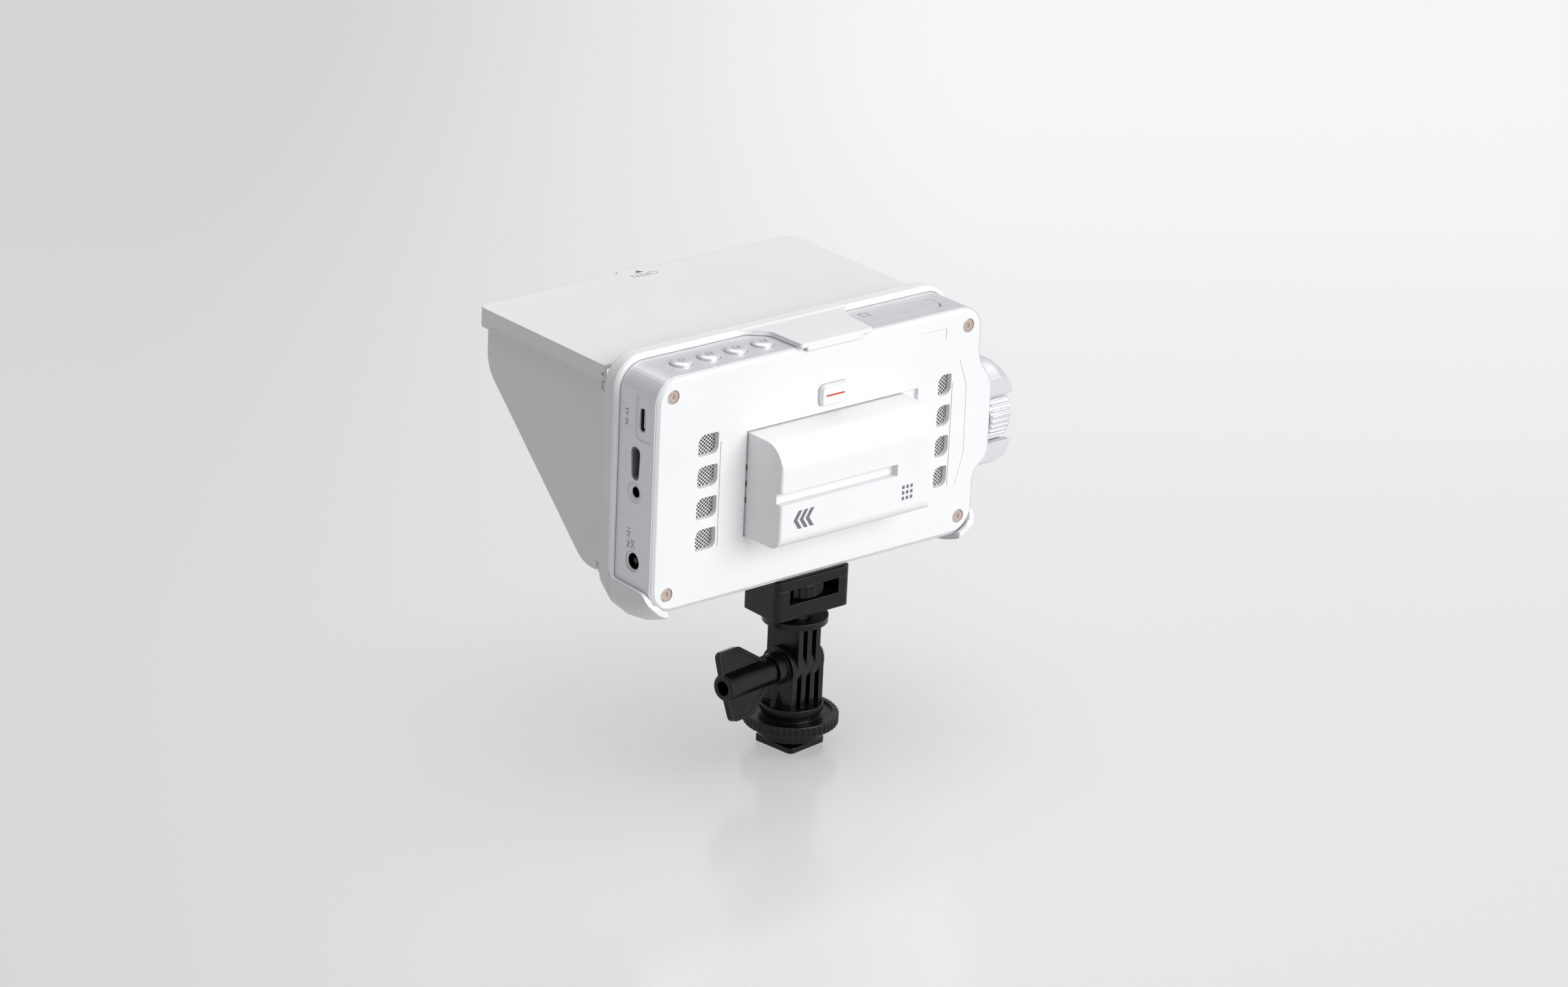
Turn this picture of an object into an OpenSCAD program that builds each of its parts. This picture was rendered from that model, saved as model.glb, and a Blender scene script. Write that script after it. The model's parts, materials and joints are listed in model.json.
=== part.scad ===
// Camera field monitor with a folding sun hood, a clip-on battery and a shoe mount.
// Seen from behind: X to the right, Y towards the screen, Z up. The origin is the
// middle of the shoe foot's underside. Monitor parts are drawn about the centre of the
// rear face and lifted into place by on_monitor().

/* [Monitor housing] */
// Width of the silver housing
body_w = 148.2; // [140:0.2:165]
// Height of the silver housing
body_h = 87.2; // [84:0.2:96]
// Radius of the housing's corners
corner_r = 9.5; // [8:0.5:12]
// Depth from the rear face to the front rim
body_d = 24; // [23:0.5:30]
// Wall of the housing
wall = 2.2; // [1.8:0.1:2.6]
// How far the knob bulge stands out of the right side
bulge_out = 6.8; // [5:0.2:9]
// Top of the bulge's straight flank
bulge_top = 8.5; // [6:0.5:11]
// Bottom of the bulge's straight flank
bulge_bottom = -12.5; // [-15:0.5:-11]
// Height of the S-curve above the flank
bulge_rise = 18; // [14:0.5:20]
// Height of the S-curve below the flank
bulge_fall = 12; // [9:0.5:14]
// Depth of the bulge from the rear face
bulge_d = 20.3; // [19:0.1:20.3]

/* [Rear cover] */
// Thickness of the cover's rim
rim_t = 1.2; // [1.2:0.1:1.6]
// Chamfer round the cover
rim_chamfer = 1.1; // [0.6:0.1:1.1]
// Full thickness of the cover inside the rim
cover_t = 2.6; // [2.4:0.1:3]
// How far the cover lies inside the housing's outline all round
cover_in = 0.5; // [0.2:0.1:0.7]
// Distance of the cover screws from the housing's sides
screw_side = 7; // [6.5:0.1:8]
// Distance of the cover screws from the housing's top and bottom
screw_end = 7; // [6.5:0.1:8]
// Radius of a cover screw's head
screw_head_r = 2.3; // [1.8:0.1:2.6]
// Radius of a cover screw's shank
screw_r = 1; // [0.8:0.1:1.4]

/* [Vents] */
// Middle of the left column of vents
vent_left_x = -50.8; // [-54:0.2:-48]
// Middle of the right column of vents
vent_right_x = 57.2; // [55:0.2:58]
// Width of a left vent
vent_left_w = 8.8; // [6:0.2:10]
// Width of a right vent
vent_right_w = 6; // [5:0.2:7]
// Height of a vent
vent_h = 7.8; // [6:0.2:9]
// Centre distance of the vents
vent_pitch = 11.75; // [10:0.25:13]
// Height of the top vent's centre
vent_top_z = 16; // [14:0.5:18]
// Large corner radius of a vent
vent_r = 2.8; // [2:0.1:3]
// Centre distance of the mesh holes in a row
mesh_pitch = 1.7; // [1.6:0.1:2.4]
// Radius of a mesh hole
mesh_r = 0.45; // [0.3:0.05:0.6]
// Thickness of the mesh
mesh_t = 0.4; // [0.3:0.1:0.6]

/* [Top keys] */
// Middle of the first key
key_x = -55.8; // [-60:0.2:-52]
// Centre distance of the keys
key_pitch = 12; // [10.5:0.5:12.5]
// Number of keys
key_count = 4; // [4:4]
// Distance of the keys from the rear face
key_y = 10.4; // [9:0.2:12]
// Radius of a key cap
key_r = 4.1; // [3:0.1:4.6]
// How far a key stands out of the top
key_out = 1.3; // [0.9:0.1:2]
// Travel of a key
key_travel = 0.7; // [0.4:0.1:0.8]

/* [Card cover] */
// Left end of the card cover
card_x0 = 25.4; // [24:0.2:28]
// Right end of the card cover
card_x1 = 60.6; // [56:0.2:62]
// Rear edge of the card cover
card_y0 = 5.6; // [4:0.2:7]
// Width of the card cover across the housing
card_w = 10.8; // [9:0.2:12]
// Thickness of the card cover
card_t = 1.2; // [1:0.1:1.3]

/* [Side sockets] */
// Height of the charging socket's centre
usb_z = 27; // [25:0.2:28]
// Distance of the charging socket from the rear face
usb_y = 8.3; // [7:0.1:10]
// Length of the charging socket's shell
usb_l = 9; // [8.6:0.1:9.4]
// Width of the charging socket's shell
usb_w = 3.3; // [3:0.1:3.6]
// Distance of the strap slot and the two jacks from the rear face
jack_y = 11; // [9.5:0.1:12]
// Top of the strap slot
slot_top = 15.9; // [14:0.1:16]
// Bottom of the strap slot
slot_bottom = 4.8; // [4:0.1:6]
// Half the width of the strap slot at its top
slot_r_top = 2.1; // [1.8:0.1:2.4]
// Half the width of the strap slot at its bottom
slot_r_bottom = 1.4; // [1:0.1:1.6]
// Height of the headphone jack
phone_z = -0.4; // [-1:0.1:0.4]
// Bore radius of the headphone jack
phone_r = 1.8; // [1.75:0.05:1.9]
// Height of the power jack
power_z = -26.1; // [-28:0.1:-20]
// Bore radius of the power jack
power_r = 2.8; // [2.7:0.05:3.2]
// Radius of the power jack's centre pin
power_pin_r = 1.05; // [0.8:0.05:1.25]
// Outer radius of the jacks' sleeves
sleeve_r = 3.7; // [3.6:0.1:4]
// Middle of the video socket in the underside
video_x = 40; // [34:0.5:50]

/* [Jog knob] */
// Distance of the knob's axis from the rear face
knob_y = 13.6; // [13:0.1:14.5]
// Height of the knob's axis
knob_z = -3; // [-5:0.5:-1]
// Radius of the knob under its ribs
knob_r = 12.3; // [10:0.1:12.8]
// Length of the knob
knob_l = 9.4; // [8:0.2:11]
// Number of ribs on the knob
knob_ribs = 38; // [24:2:44]
// Radius of a rib
knob_rib_r = 0.5; // [0.3:0.05:0.6]
// Radius of the knob's shaft
shaft_r = 3; // [2:0.1:3.5]
// Outer radius of the guards above and below the knob
guard_r = 20.2; // [19:0.1:21]
// Rounding of the guards' outer edge
guard_round = 6; // [3:0.5:6]
// Half the finger gap between the guards
guard_gap = 9.1; // [8:0.1:10]

/* [Battery] */
// How much longer the battery is than its cells
batt_over = 5.8; // [5.8:0.1:9]
// Height of the battery
batt_h = 38.4; // [38.4:0.1:39]
// Thickness of the battery
batt_t = 20.4; // [20.4:0.1:40]
// Left end of the battery
batt_x = -33.2; // [-35:0.1:-30]
// Height of the battery's centre
batt_z = -2.4; // [-3:0.1:-2]
// Radius of the battery's upper rear edge
batt_r_top = 9; // [6:0.5:10]
// Radius of the battery's lower rear edge
batt_r_low = 5; // [3:0.5:8]
// Radius of the battery's upright rear edge at its right end
batt_r_end = 4.5; // [1.5:0.1:5]
// How far the battery slides before it lifts off
batt_slide = 6.5; // [6:0.5:9]
// Depth of the seat that the battery lies in
seat_d = 1.5; // [1.2:0.1:1.6]
// Length of the battery's rear groove
groove_l = 53; // [30:1:60]
// Width of the battery's rear groove
groove_w = 4.2; // [2:0.1:5]
// Depth of the battery's rear groove
groove_d = 2.7; // [1:0.1:3]
// Radius of a battery cell
cell_r = 8.9; // [8:0.1:9]
// Length of a battery cell
cell_l = 65; // [60:0.5:65]

/* [Release button] */
// Middle of the release button
button_x = 4.2; // [0:0.2:8]
// Height of the release button
button_z = 24; // [23.6:0.1:28]
// Width of the release button
button_w = 12; // [10:0.2:14]
// Height of the release button's face
button_h = 7.6; // [6:0.2:8]
// How far the button stands out of the cover
button_out = 2; // [1.4:0.1:2.6]
// Travel of the button
button_travel = 1.2; // [0.8:0.1:1.3]

/* [Sun hood] */
// How far the hood frame stands out of the housing all round
frame_out = 1.8; // [1.5:0.1:2.4]
// Distance of the frame's rear edge from the rear face
frame_y = 20.6; // [20.4:0.1:21]
// Distance of the frame's front from the rear face
frame_front = 27.6; // [27:0.1:29]
// Border of the frame that covers the screen's edge
frame_border = 5.8; // [4:0.2:7]
// Gap between the frame and the housing
frame_gap = 0.15; // [0.1:0.05:0.3]
// How much deeper the frame's corner claws bulge below than the frame
claw_drop = 3.4; // [1:0.1:3.8]
// How much narrower the hood lid is than the housing
lid_in = 3.4; // [2.4:0.2:6]
// Distance of the lid's front edge from the rear face
lid_front = 106; // [80:0.5:106]
// Distance of the lid's upper face below the housing's top
lid_drop = 4.2; // [4:0.1:5]
// Thickness of the lid
lid_t = 1.5; // [1.2:0.1:2]
// Depth of the lid's rim below its upper face
lid_rim = 5.7; // [5:0.1:7]
// Wall of the lid's rim
lid_rim_t = 1.2; // [1:0.1:1.4]
// Radius of the lid's front corners
lid_r = 4; // [3:0.5:6]
// Radius of the hood's hinge barrels
barrel_r = 1.5; // [1.3:0.1:1.6]
// Radius of the hood's hinge pins
pin_r = 0.7; // [0.5:0.05:0.8]
// Distance of the hood's side hinges from the rear face
wing_y = 33.6; // [33.4:0.1:34.4]
// Thickness of a side wing
wing_t = 1.6; // [1.4:0.1:2]
// Distance of a side wing's bottom edge above the housing's underside
wing_rise = 5; // [4.6:0.1:6]
// Where a wing's slanted edge leaves its front edge
wing_knee = 17; // [5:0.5:24]
// Where a wing's slanted edge meets its bottom edge, ahead of the side hinge
wing_foot = 10; // [6:0.5:30]

/* [Shoe mount] */
// Distance of the mount's axis from the monitor's rear face
mount_y = 9.5; // [9.2:0.1:12]
// Turn of the mount about its upright axis
pan_rest = 7.5; // [0:0.5:15]
// Width of the shoe foot
foot_w = 18.4; // [18:0.1:18.6]
// Thickness of the shoe foot
foot_t = 2; // [1.6:0.1:2]
// Corner radius of the shoe foot
foot_r = 2; // [1:0.5:3]
// Gap for the shoe's rails between foot and locking wheel
shoe_gap = 1.7; // [1.6:0.1:3]
// Radius of the threaded stem
stem_r = 5; // [4:0.25:6]
// Radius of the locking wheel
wheel_r = 17.4; // [15:0.2:20]
// Thickness of the locking wheel's rim
wheel_t = 4; // [3:0.2:5]
// Number of ribs on the locking wheel
wheel_ribs = 48; // [24:2:60]
// Radius of the locking wheel's lower collar
collar_r = 12; // [10:0.5:14]
// Thickness of the locking wheel's lower collar
collar_t = 4.4; // [3:0.2:5]
// Radius of the clevis base and of the swivel disc
disc_r = 12; // [10:0.2:13]
// Thickness of those discs
disc_t = 2.3; // [2:0.1:3]
// Height of the tilt bolt over the clevis base
bolt_rise = 14.6; // [13:0.2:20]
// Height of the swivel disc over the tilt bolt
head_rise = 16.8; // [15:0.2:20]
// Thickness of a clevis finger
finger_t = 2.2; // [1.8:0.1:2.2]
// Centre distance of neighbouring fingers on one part
finger_pitch = 4.6; // [4.6:0.1:6]
// Radius of the clevis fingers' round ends
finger_r = 7.7; // [7:0.1:8.5]
// Radius of the tilt bolt
bolt_r = 2.5; // [2:0.1:3]
// Length of the wing nut
wing_nut_l = 23.5; // [16:0.5:26]
// Radius of the wing nut's barrel
wing_nut_r = 4.9; // [4.4:0.1:5.4]
// Span of a wing from the bolt's axis
wing_nut_span = 12.7; // [10:0.1:14.6]
// Lean of the wing nut at rest
wing_nut_lean = 19; // [0:1:45]
// Width of the screw box under the monitor
box_w = 33.6; // [28:0.2:36]
// Depth of the screw box
box_d = 20; // [18:0.2:20]
// Height of the screw box with its cap
box_h = 15; // [15:0.2:18]
// Height of the cap of the screw box
cap_h = 3.6; // [3:0.1:4]
// Radius of the thumb wheel
thumb_r = 9.8; // [8:0.1:10]
// Thickness of the thumb wheel
thumb_t = 5; // [4:0.1:5.6]
// Number of ribs on the thumb wheel
thumb_ribs = 24; // [12:2:30]
// Radius of the mounting screw
tripod_r = 3.175; // [3.175:0.001:4.763]

/* [Hidden] */
$fn = 64;

eps = 0.01;
fit = 0.05;
slip = 0.15;
seat = 0.3;
big = 400;

// Heights of the mount, from the foot up
collar_z = foot_t + shoe_gap;
wheel_z = collar_z + collar_t;
base_z = wheel_z + wheel_t + 1.8;
bolt_z = base_z + disc_t + bolt_rise;
head_z = bolt_z + head_rise;
hub_t = 2.4;
hub_r = 6;
washer_t = 0.6;
box_z = head_z + disc_t + hub_t + washer_t;
pad_t = 0.5;
monitor_z = box_z + box_h + pad_t + body_h / 2;

// Planes of the monitor, measured from the rear face and the screen's centre
side_x = body_w / 2;
top_z = body_h / 2;
bulge_x = side_x + bulge_out;
in_x = side_x - wall;
in_z = top_z - wall;
screw_x = side_x - screw_side;
screw_z = top_z - screw_end;
glass_t = 1.6;
glass_inset = 1.5;
glass_y = body_d - glass_t - 0.1;
ledge_t = 1.9;
ledge_w = 6;
panel_t = 5;
panel_y = glass_y - panel_t;

// Battery seat
batt_y = seat_d - seat;
batt_l = cell_l + batt_over;
batt_end = batt_x + batt_l;
front_t = 1.4;
lug_z = batt_h / 2 - 3;
lug_x = [batt_x + 16, batt_x + 54];
lug_l = 3;
neck_w = 2;
head_w = 3.6;
head_t = 1;
neck_t = 2.1;

// Hood planes
flange_y = body_d + seat / 2;
collar_y = wing_y - 2.6;
lid_w = body_w - lid_in;
lid_z = top_z - lid_drop;
lid_hinge_y = collar_y + barrel_r + 0.4;
lid_hinge_z = lid_z - lid_t - seat - barrel_r;
lid_y0 = lid_hinge_y - 0.8;
ear_t = 2.9;
ear_x = lid_w / 2 - 5.8;
ear_w = 6.6;
wing_x = lid_w / 2 - lid_rim_t - seat - barrel_r;
wing_low = wing_rise - top_z;
wing_top = lid_z - lid_rim - 1.1;
wing_front = lid_front - lid_rim_t - 2.6;

// A closed outline with rounded corners: each point is [x, y, radius]
function unit(v) = v / norm(v);
function corner(a, b, c, n) =
    let (u = unit([a[0] - b[0], a[1] - b[1]]), v = unit([c[0] - b[0], c[1] - b[1]]))
    let (half = acos(u * v) / 2, m = unit(u + v), d = b[2] / sin(half))
    let (o = [b[0], b[1]] + m * d, p = [b[0], b[1]] + u * b[2] / tan(half))
    let (a0 = atan2(p[1] - o[1], p[0] - o[0]), s = sign(u[1] * v[0] - u[0] * v[1]))
    [for (k = [0:n]) let (t = a0 + s * (180 - 2 * half) * k / n) o + b[2] * [cos(t), sin(t)]];
function rounded(pts, n = 8) = [
    for (i = [0:len(pts) - 1])
        let (b = pts[i], a = pts[(i + len(pts) - 1) % len(pts)], c = pts[(i + 1) % len(pts)])
        each (b[2] > 0 ? corner(a, b, c, n) : [[b[0], b[1]]])
];

// Lifts the monitor's own coordinates to the part's origin
module on_monitor() translate([0, -mount_y, monitor_z]) children();
// Turns the lower mount about its upright axis
module on_mount() rotate(pan_rest) children();
// Extrudes an X-Z outline along Y
module along_y(y0, y1) translate([0, y1, 0]) rotate([90, 0, 0]) linear_extrude(y1 - y0) children();
// Extrudes a Y-Z outline along X
module along_x(x0, x1) translate([x0, 0, 0]) rotate([90, 0, 90]) linear_extrude(x1 - x0) children();
module rod_x(x0, x1, r) translate([x0, 0, 0]) rotate([0, 90, 0]) cylinder(h = x1 - x0, r = r);
module rod_y(y0, y1, r) translate([0, y0, 0]) rotate([-90, 0, 0]) cylinder(h = y1 - y0, r = r);
module block(lo, hi) translate(lo) cube(hi - lo);

module round_rect(w, h, r) {
    square([w - 2 * r, h], center = true);
    square([w, h - 2 * r], center = true);
    for (x = [-1, 1], z = [-1, 1]) translate([x * (w / 2 - r), z * (h / 2 - r)]) circle(r);
}

function arc(c, r, a0, a1, n) = [for (k = [0:n]) c + r * [cos(a0 + (a1 - a0) * k / n), sin(a0 + (a1 - a0) * k / n)]];
// Points of the housing's outline in X-Z, drawn in by an inset
function s_r(run) = (run * run + bulge_out * bulge_out) / (4 * bulge_out);
function s_a(run) = 2 * atan(bulge_out / run);
function bulge_points(i) = concat(
    arc([side_x + s_r(bulge_fall), bulge_bottom - bulge_fall], s_r(bulge_fall) + i, 180, 180 - s_a(bulge_fall), 8),
    arc([bulge_x - s_r(bulge_fall), bulge_bottom], s_r(bulge_fall) - i, -s_a(bulge_fall), 0, 8),
    arc([bulge_x - s_r(bulge_rise), bulge_top], s_r(bulge_rise) - i, 0, s_a(bulge_rise), 8),
    arc([side_x + s_r(bulge_rise), bulge_top + bulge_rise], s_r(bulge_rise) + i, 180 + s_a(bulge_rise), 180, 8));
function body_points(i, bulge) = let (x = side_x - corner_r, z = top_z - corner_r, r = corner_r - i) concat(
    arc([-x, -z], r, 180, 270, 12),
    arc([x, -z], r, 270, 360, 12),
    bulge ? bulge_points(i) : [],
    arc([x, z], r, 0, 90, 12),
    arc([-x, z], r, 90, 180, 12));
module body_rect(inset = 0) polygon(body_points(inset, false));
module body_outline(inset = 0) polygon(body_points(inset, true));
// The outline with one inset at y0 and another at y1
module body_taper(y0, y1, in0, in1, bulge) {
    p = body_points(in0, bulge);
    q = body_points(in1, bulge);
    n = len(p);
    polyhedron(
        points = concat([for (v = p) [v[0], y0, v[1]]], [for (v = q) [v[0], y1, v[1]]]),
        faces = concat([[for (k = [n - 1:-1:0]) k]], [[for (k = [n:2 * n - 1]) k]],
            [for (k = [0:n - 1]) [k, (k + 1) % n, n + (k + 1) % n, n + k]]));
}

module at_screws() for (m = [0, 1], z = [-screw_z, screw_z]) mirror([m, 0, 0]) translate([screw_x, 0, z]) children();

// Socket shapes in the left side, drawn in Y-Z
module usb_shape(grow = 0) {
    r = usb_w / 2;
    for (s = [-1, 1]) translate([usb_y, usb_z + s * (usb_l / 2 - r)]) circle(r + grow);
    translate([usb_y - r - grow, usb_z - usb_l / 2 + r]) square([usb_w + 2 * grow, usb_l - usb_w]);
}
module slot_shape(grow = 0) {
    t = slot_r_top + grow;
    b = slot_r_bottom + grow;
    polygon(rounded([
        [jack_y - b, slot_bottom - grow, b * 0.9], [jack_y + b, slot_bottom - grow, b * 0.9],
        [jack_y + t, slot_top + grow, t * 0.9], [jack_y - t, slot_top + grow, t * 0.9]], 6));
}

// The card cover's outline seen from above
module card_shape(grow = 0) {
    r = card_w / 2 + grow;
    yc = card_y0 + card_w / 2;
    translate([card_x1 - card_w / 2, yc]) circle(r);
    translate([card_x0 - grow, yc - r]) square([card_x1 - card_x0 - card_w / 2 + grow, 2 * r]);
}
card_hinge_x = card_x1 - 1.6;
card_hinge_z = top_z - card_t / 2;
card_pin_r = 0.4;
shoulder = sqrt(pow(card_w / 2, 2) - pow(card_hinge_x - card_t / 2 - card_x1 + card_w / 2, 2)) + slip;

// Crown guards round the knob
guard_l = knob_l + 1.2;
module guards() {
    difference() {
        intersection() {
            translate([side_x - wall, knob_y, knob_z]) rotate([0, 90, 0]) guard_dome(wall + bulge_out + guard_l);
            block([in_x, rim_t, -top_z], [big, body_d, top_z]);
        }
        block([bulge_x, -big, knob_z - guard_gap], [big, big, knob_z + guard_gap]);
        // Clear of the hood frame
        block([0, bulge_d, -big], [bulge_x - 1.2, big, big]);
        translate([0, knob_y, knob_z]) rod_x(bulge_x, big, knob_r + knob_rib_r + 0.4);
    }
}
module guard_dome(l) rotate_extrude()
    polygon(rounded([[0, 0, 0], [guard_r, 0, 0], [guard_r, l, guard_round], [0, l, 0]], 6));

module housing() color("silver") on_monitor() difference() {
    union() {
        difference() {
            union() {
                along_y(rim_t, body_d) body_rect();
                along_y(rim_t, bulge_d) body_outline();
                guards();
            }
            along_y(rim_t - 1, body_d - glass_t - ledge_t) body_rect(wall);
            along_y(rim_t, body_d + 1) body_rect(ledge_w);
            along_y(glass_y, body_d + 1) body_rect(glass_inset - 0.2);
        }
        // Screw bosses with a rib to the side wall
        at_screws() {
            rod_y(cover_t + 0.1, panel_y - 0.4, 4.2);
            block([0, cover_t + 0.1, -1.2], [screw_side - wall + 0.5, panel_y - 0.4, 1.2]);
        }
        // Boss of the bottom thread
        translate([0, mount_y, -top_z]) cylinder(h = 9, r = 6.5);
        // Ribs that carry the board, the jacks and the card socket
        for (z = [phone_z, power_z]) translate([0, jack_y, z]) rod_x(-side_x + 0.5, -in_x + 3, sleeve_r + 1.2);
        block([-in_x - 0.5, usb_y - 3.2, usb_z - 6.5], [-in_x + 3, usb_y + 3.2, usb_z + 6.5]);
        block([card_hinge_x - 3, card_y0 - 1, in_z - 1.6], [card_x1 + 1, card_y0 + card_w + 1, top_z - 0.4]);
    }
    at_screws() rod_y(0, panel_y - 2, screw_r + 0.02);
    // Keys
    for (k = [0:key_count - 1])
        translate([key_x + k * key_pitch, key_y, 0]) cylinder(h = big, r = key_r + slip);
    // Pocket and slot of the card cover
    translate([0, 0, top_z - card_t - 0.1]) linear_extrude(big) card_shape(slip);
    translate([0, 0, top_z - card_t - 1.4]) linear_extrude(big) intersection() {
        card_shape(slip + 0.25);
        translate([card_hinge_x - 1.3, card_y0 - slip]) square([card_x1 - card_hinge_x + 1.3 + slip, card_w + 2 * slip]);
    }
    // Room for the flap's shoulders as it stands up
    block([card_hinge_x - 1.3, card_y0 + card_w / 2 - shoulder, top_z - card_t - 0.1],
        [card_hinge_x + card_t / 2 + slip, card_y0 + card_w / 2 + shoulder, big]);
    block([card_x0 + 3, card_y0 + card_w / 2 - 1.6, in_z - 3], [card_x0 + 29, card_y0 + card_w / 2 + 1.6, big]);
    translate([card_hinge_x, 0, card_hinge_z]) rod_y(card_y0 - 1.6, card_y0 + card_w + 1.6, card_pin_r + 0.01);
    // Sockets in the left side
    along_x(-big, -in_x + 4) usb_shape(fit);
    along_x(-big, -side_x + 0.5) polygon(rounded([
        [usb_y - 5.4, usb_z + 9, 1.5], [usb_y - 5.4, usb_z - 7.6, 1.5],
        [usb_y + 3.4, usb_z - 7.6, 1.5], [usb_y + 3.4, usb_z + 9, 1.5]]));
    along_x(-big, -in_x + 4) slot_shape(0.6);
    for (z = [phone_z, power_z]) translate([0, jack_y, z]) rod_x(-big, -in_x + 4, sleeve_r + fit);
    // Video socket in the underside
    block([video_x - 7.6, mount_y - 2.4, -big], [video_x + 7.6, mount_y + 2.4, -in_z + 1]);
    // Bottom thread
    translate([0, mount_y, -top_z - 1]) cylinder(h = 9, r = insert_r + 0.02);
    // Knob shaft
    translate([0, knob_y, knob_z]) rod_x(0, big, shaft_r + 0.1);
}

module vent_shape(w) polygon(rounded([
    [-w / 2, -vent_h / 2, 0.8], [w / 2, -vent_h / 2, vent_r], [w / 2, vent_h / 2, 0.8], [-w / 2, vent_h / 2, vent_r]]));
module at_vents() {
    for (k = [0:3]) {
        translate([vent_left_x, vent_top_z - k * vent_pitch]) vent_shape(vent_left_w);
        translate([vent_right_x, vent_top_z - k * vent_pitch]) vent_shape(vent_right_w);
    }
}

module lugs() for (x = lug_x, s = [-1, 1]) translate([x, 0, batt_z + s * lug_z]) {
    block([-lug_l / 2, seat_d - neck_t, -neck_w / 2], [lug_l / 2, seat_d + eps, neck_w / 2]);
    block([-lug_l / 2, seat_d - neck_t - head_t, -head_w / 2], [lug_l / 2, seat_d - neck_t, head_w / 2]);
}
// The T-slots that the lugs run in, open towards the seat at their left end
module lug_slots() for (x = lug_x, s = [-1, 1]) translate([x, 0, batt_z + s * lug_z]) {
    g = 0.3;
    x0 = -lug_l / 2 - batt_slide - g;
    block([x0, seat_d - neck_t - 1, -neck_w / 2 - g], [lug_l / 2 + g, seat_d, neck_w / 2 + g]);
    block([x0, seat_d - neck_t - head_t - g, -head_w / 2 - g], [lug_l / 2 + g, seat_d - neck_t + g, head_w / 2 + g]);
    block([x0, seat_d - neck_t - head_t - g, -head_w / 2 - g], [x0 + lug_l + 2 * g, seat_d, head_w / 2 + g]);
}

module rear_cover() color("white") on_monitor() {
    difference() {
        union() {
            body_taper(0, rim_chamfer, rim_chamfer + cover_in, cover_in, true);
            along_y(rim_chamfer, rim_t) body_outline(cover_in);
            along_y(rim_t, cover_t) body_rect(wall + slip);
        }
        at_screws() rod_y(-1, cover_t + 1, screw_r + 0.2);
        at_screws() rod_y(-1, 1, screw_head_r + 0.25);
        along_y(-1, cover_t + 1) at_vents();
        // Mesh pocket behind each column of vents
        for (x = [vent_left_x, vent_right_x])
            along_y(cover_t - mesh_t - 0.1, cover_t + 1) translate([x, mesh_mid_z])
                square([mesh_w(x) + 0.1, mesh_h + 0.1], center = true);
        // Battery seat with room to slide
        block([batt_x - 0.5, -1, batt_z - batt_h / 2 - 0.5], [batt_end + batt_slide + 0.5, seat_d, batt_z + batt_h / 2 + 0.5]);
        // Window of the terminals
        along_y(-1, cover_t + 1) translate([batt_x + 4, batt_z]) square([5 + 0.1, 18 + 0.1], center = true);
        // Release button and its latch
        along_y(-1, cover_t + 1) translate([button_x, button_z]) round_rect(button_w + 2 * slip, button_h + 2 * slip, 1.8);
        block([button_x - 2.2, seat_d - 1, batt_z + batt_h / 2 - 4.2], [button_x + 2.2, cover_t + 1, batt_z + batt_h / 2 - 0.8]);
        // Fine grooves beside the vents
        for (x = [vent_left_x + vent_left_w / 2 + 0.9, vent_right_x + vent_right_w / 2 + 0.5])
            block([x, -1, vent_top_z - 3 * vent_pitch - vent_h / 2], [x + 0.25, 0.25, vent_top_z]);
        // Hollow that leads the thumb to the knob
        along_y(-1, 0.12) polygon(rounded([[63.6, 25, 0], [67.6, 14, 6], [68, -12, 6], [64.6, -24, 0], [63.4, 0, 30]]));
        // Bare badge
        along_y(-1, 0.2) translate([50.6, 35.4]) round_rect(12.4, 4.4, 0.8);
    }
    lugs();
    for (p = board_holes) translate([p[0], 0, p[1]]) {
        rod_y(cover_t - 0.1, board_y, 2.8);
        rod_y(cover_t, board_y + 1.6, 1.5);
    }
}

module cover_screws() color("rosybrown") on_monitor() at_screws() difference() {
    union() {
        rod_y(0.3, 1, screw_head_r);
        rod_y(0.9, 12, screw_r);
    }
    // Six-lobed socket
    along_y(0, 0.9) {
        circle(0.75);
        for (k = [0:5]) rotate(k * 60) translate([0.85, 0]) circle(0.3);
    }
}

mesh_mid_z = vent_top_z - 1.5 * vent_pitch;
mesh_h = 3 * vent_pitch + vent_h + 2.4;
function mesh_w(x) = (x < 0 ? vent_left_w : vent_right_w) + 2.4;
mesh_row = mesh_pitch * 0.62;
module vent_mesh() color("gray") on_monitor() for (x = [vent_left_x, vent_right_x]) {
    vw = x < 0 ? vent_left_w : vent_right_w;
    cols = floor((vw - 1.6) / mesh_pitch);
    rows = floor((vent_h - 1.4) / mesh_row);
    translate([x, 0, mesh_mid_z]) along_y(cover_t - mesh_t, cover_t) difference() {
        square([mesh_w(x), mesh_h], center = true);
        for (v = [-1.5:1.5], j = [0:rows], i = [0:cols - j % 2])
            translate([(i - cols / 2 + (j % 2) / 2) * mesh_pitch, v * vent_pitch + (j - rows / 2) * mesh_row]) circle(mesh_r);
    }
}

module touch_glass() color("black") on_monitor()
    along_y(glass_y, body_d - 0.1) body_rect(glass_inset);

module screen_panel() color("dimgray") on_monitor()
    along_y(panel_y, glass_y) round_rect(body_w - 2 * ledge_w - 1, body_h - 2 * ledge_w - 1, corner_r - ledge_w - 0.3);

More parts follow.
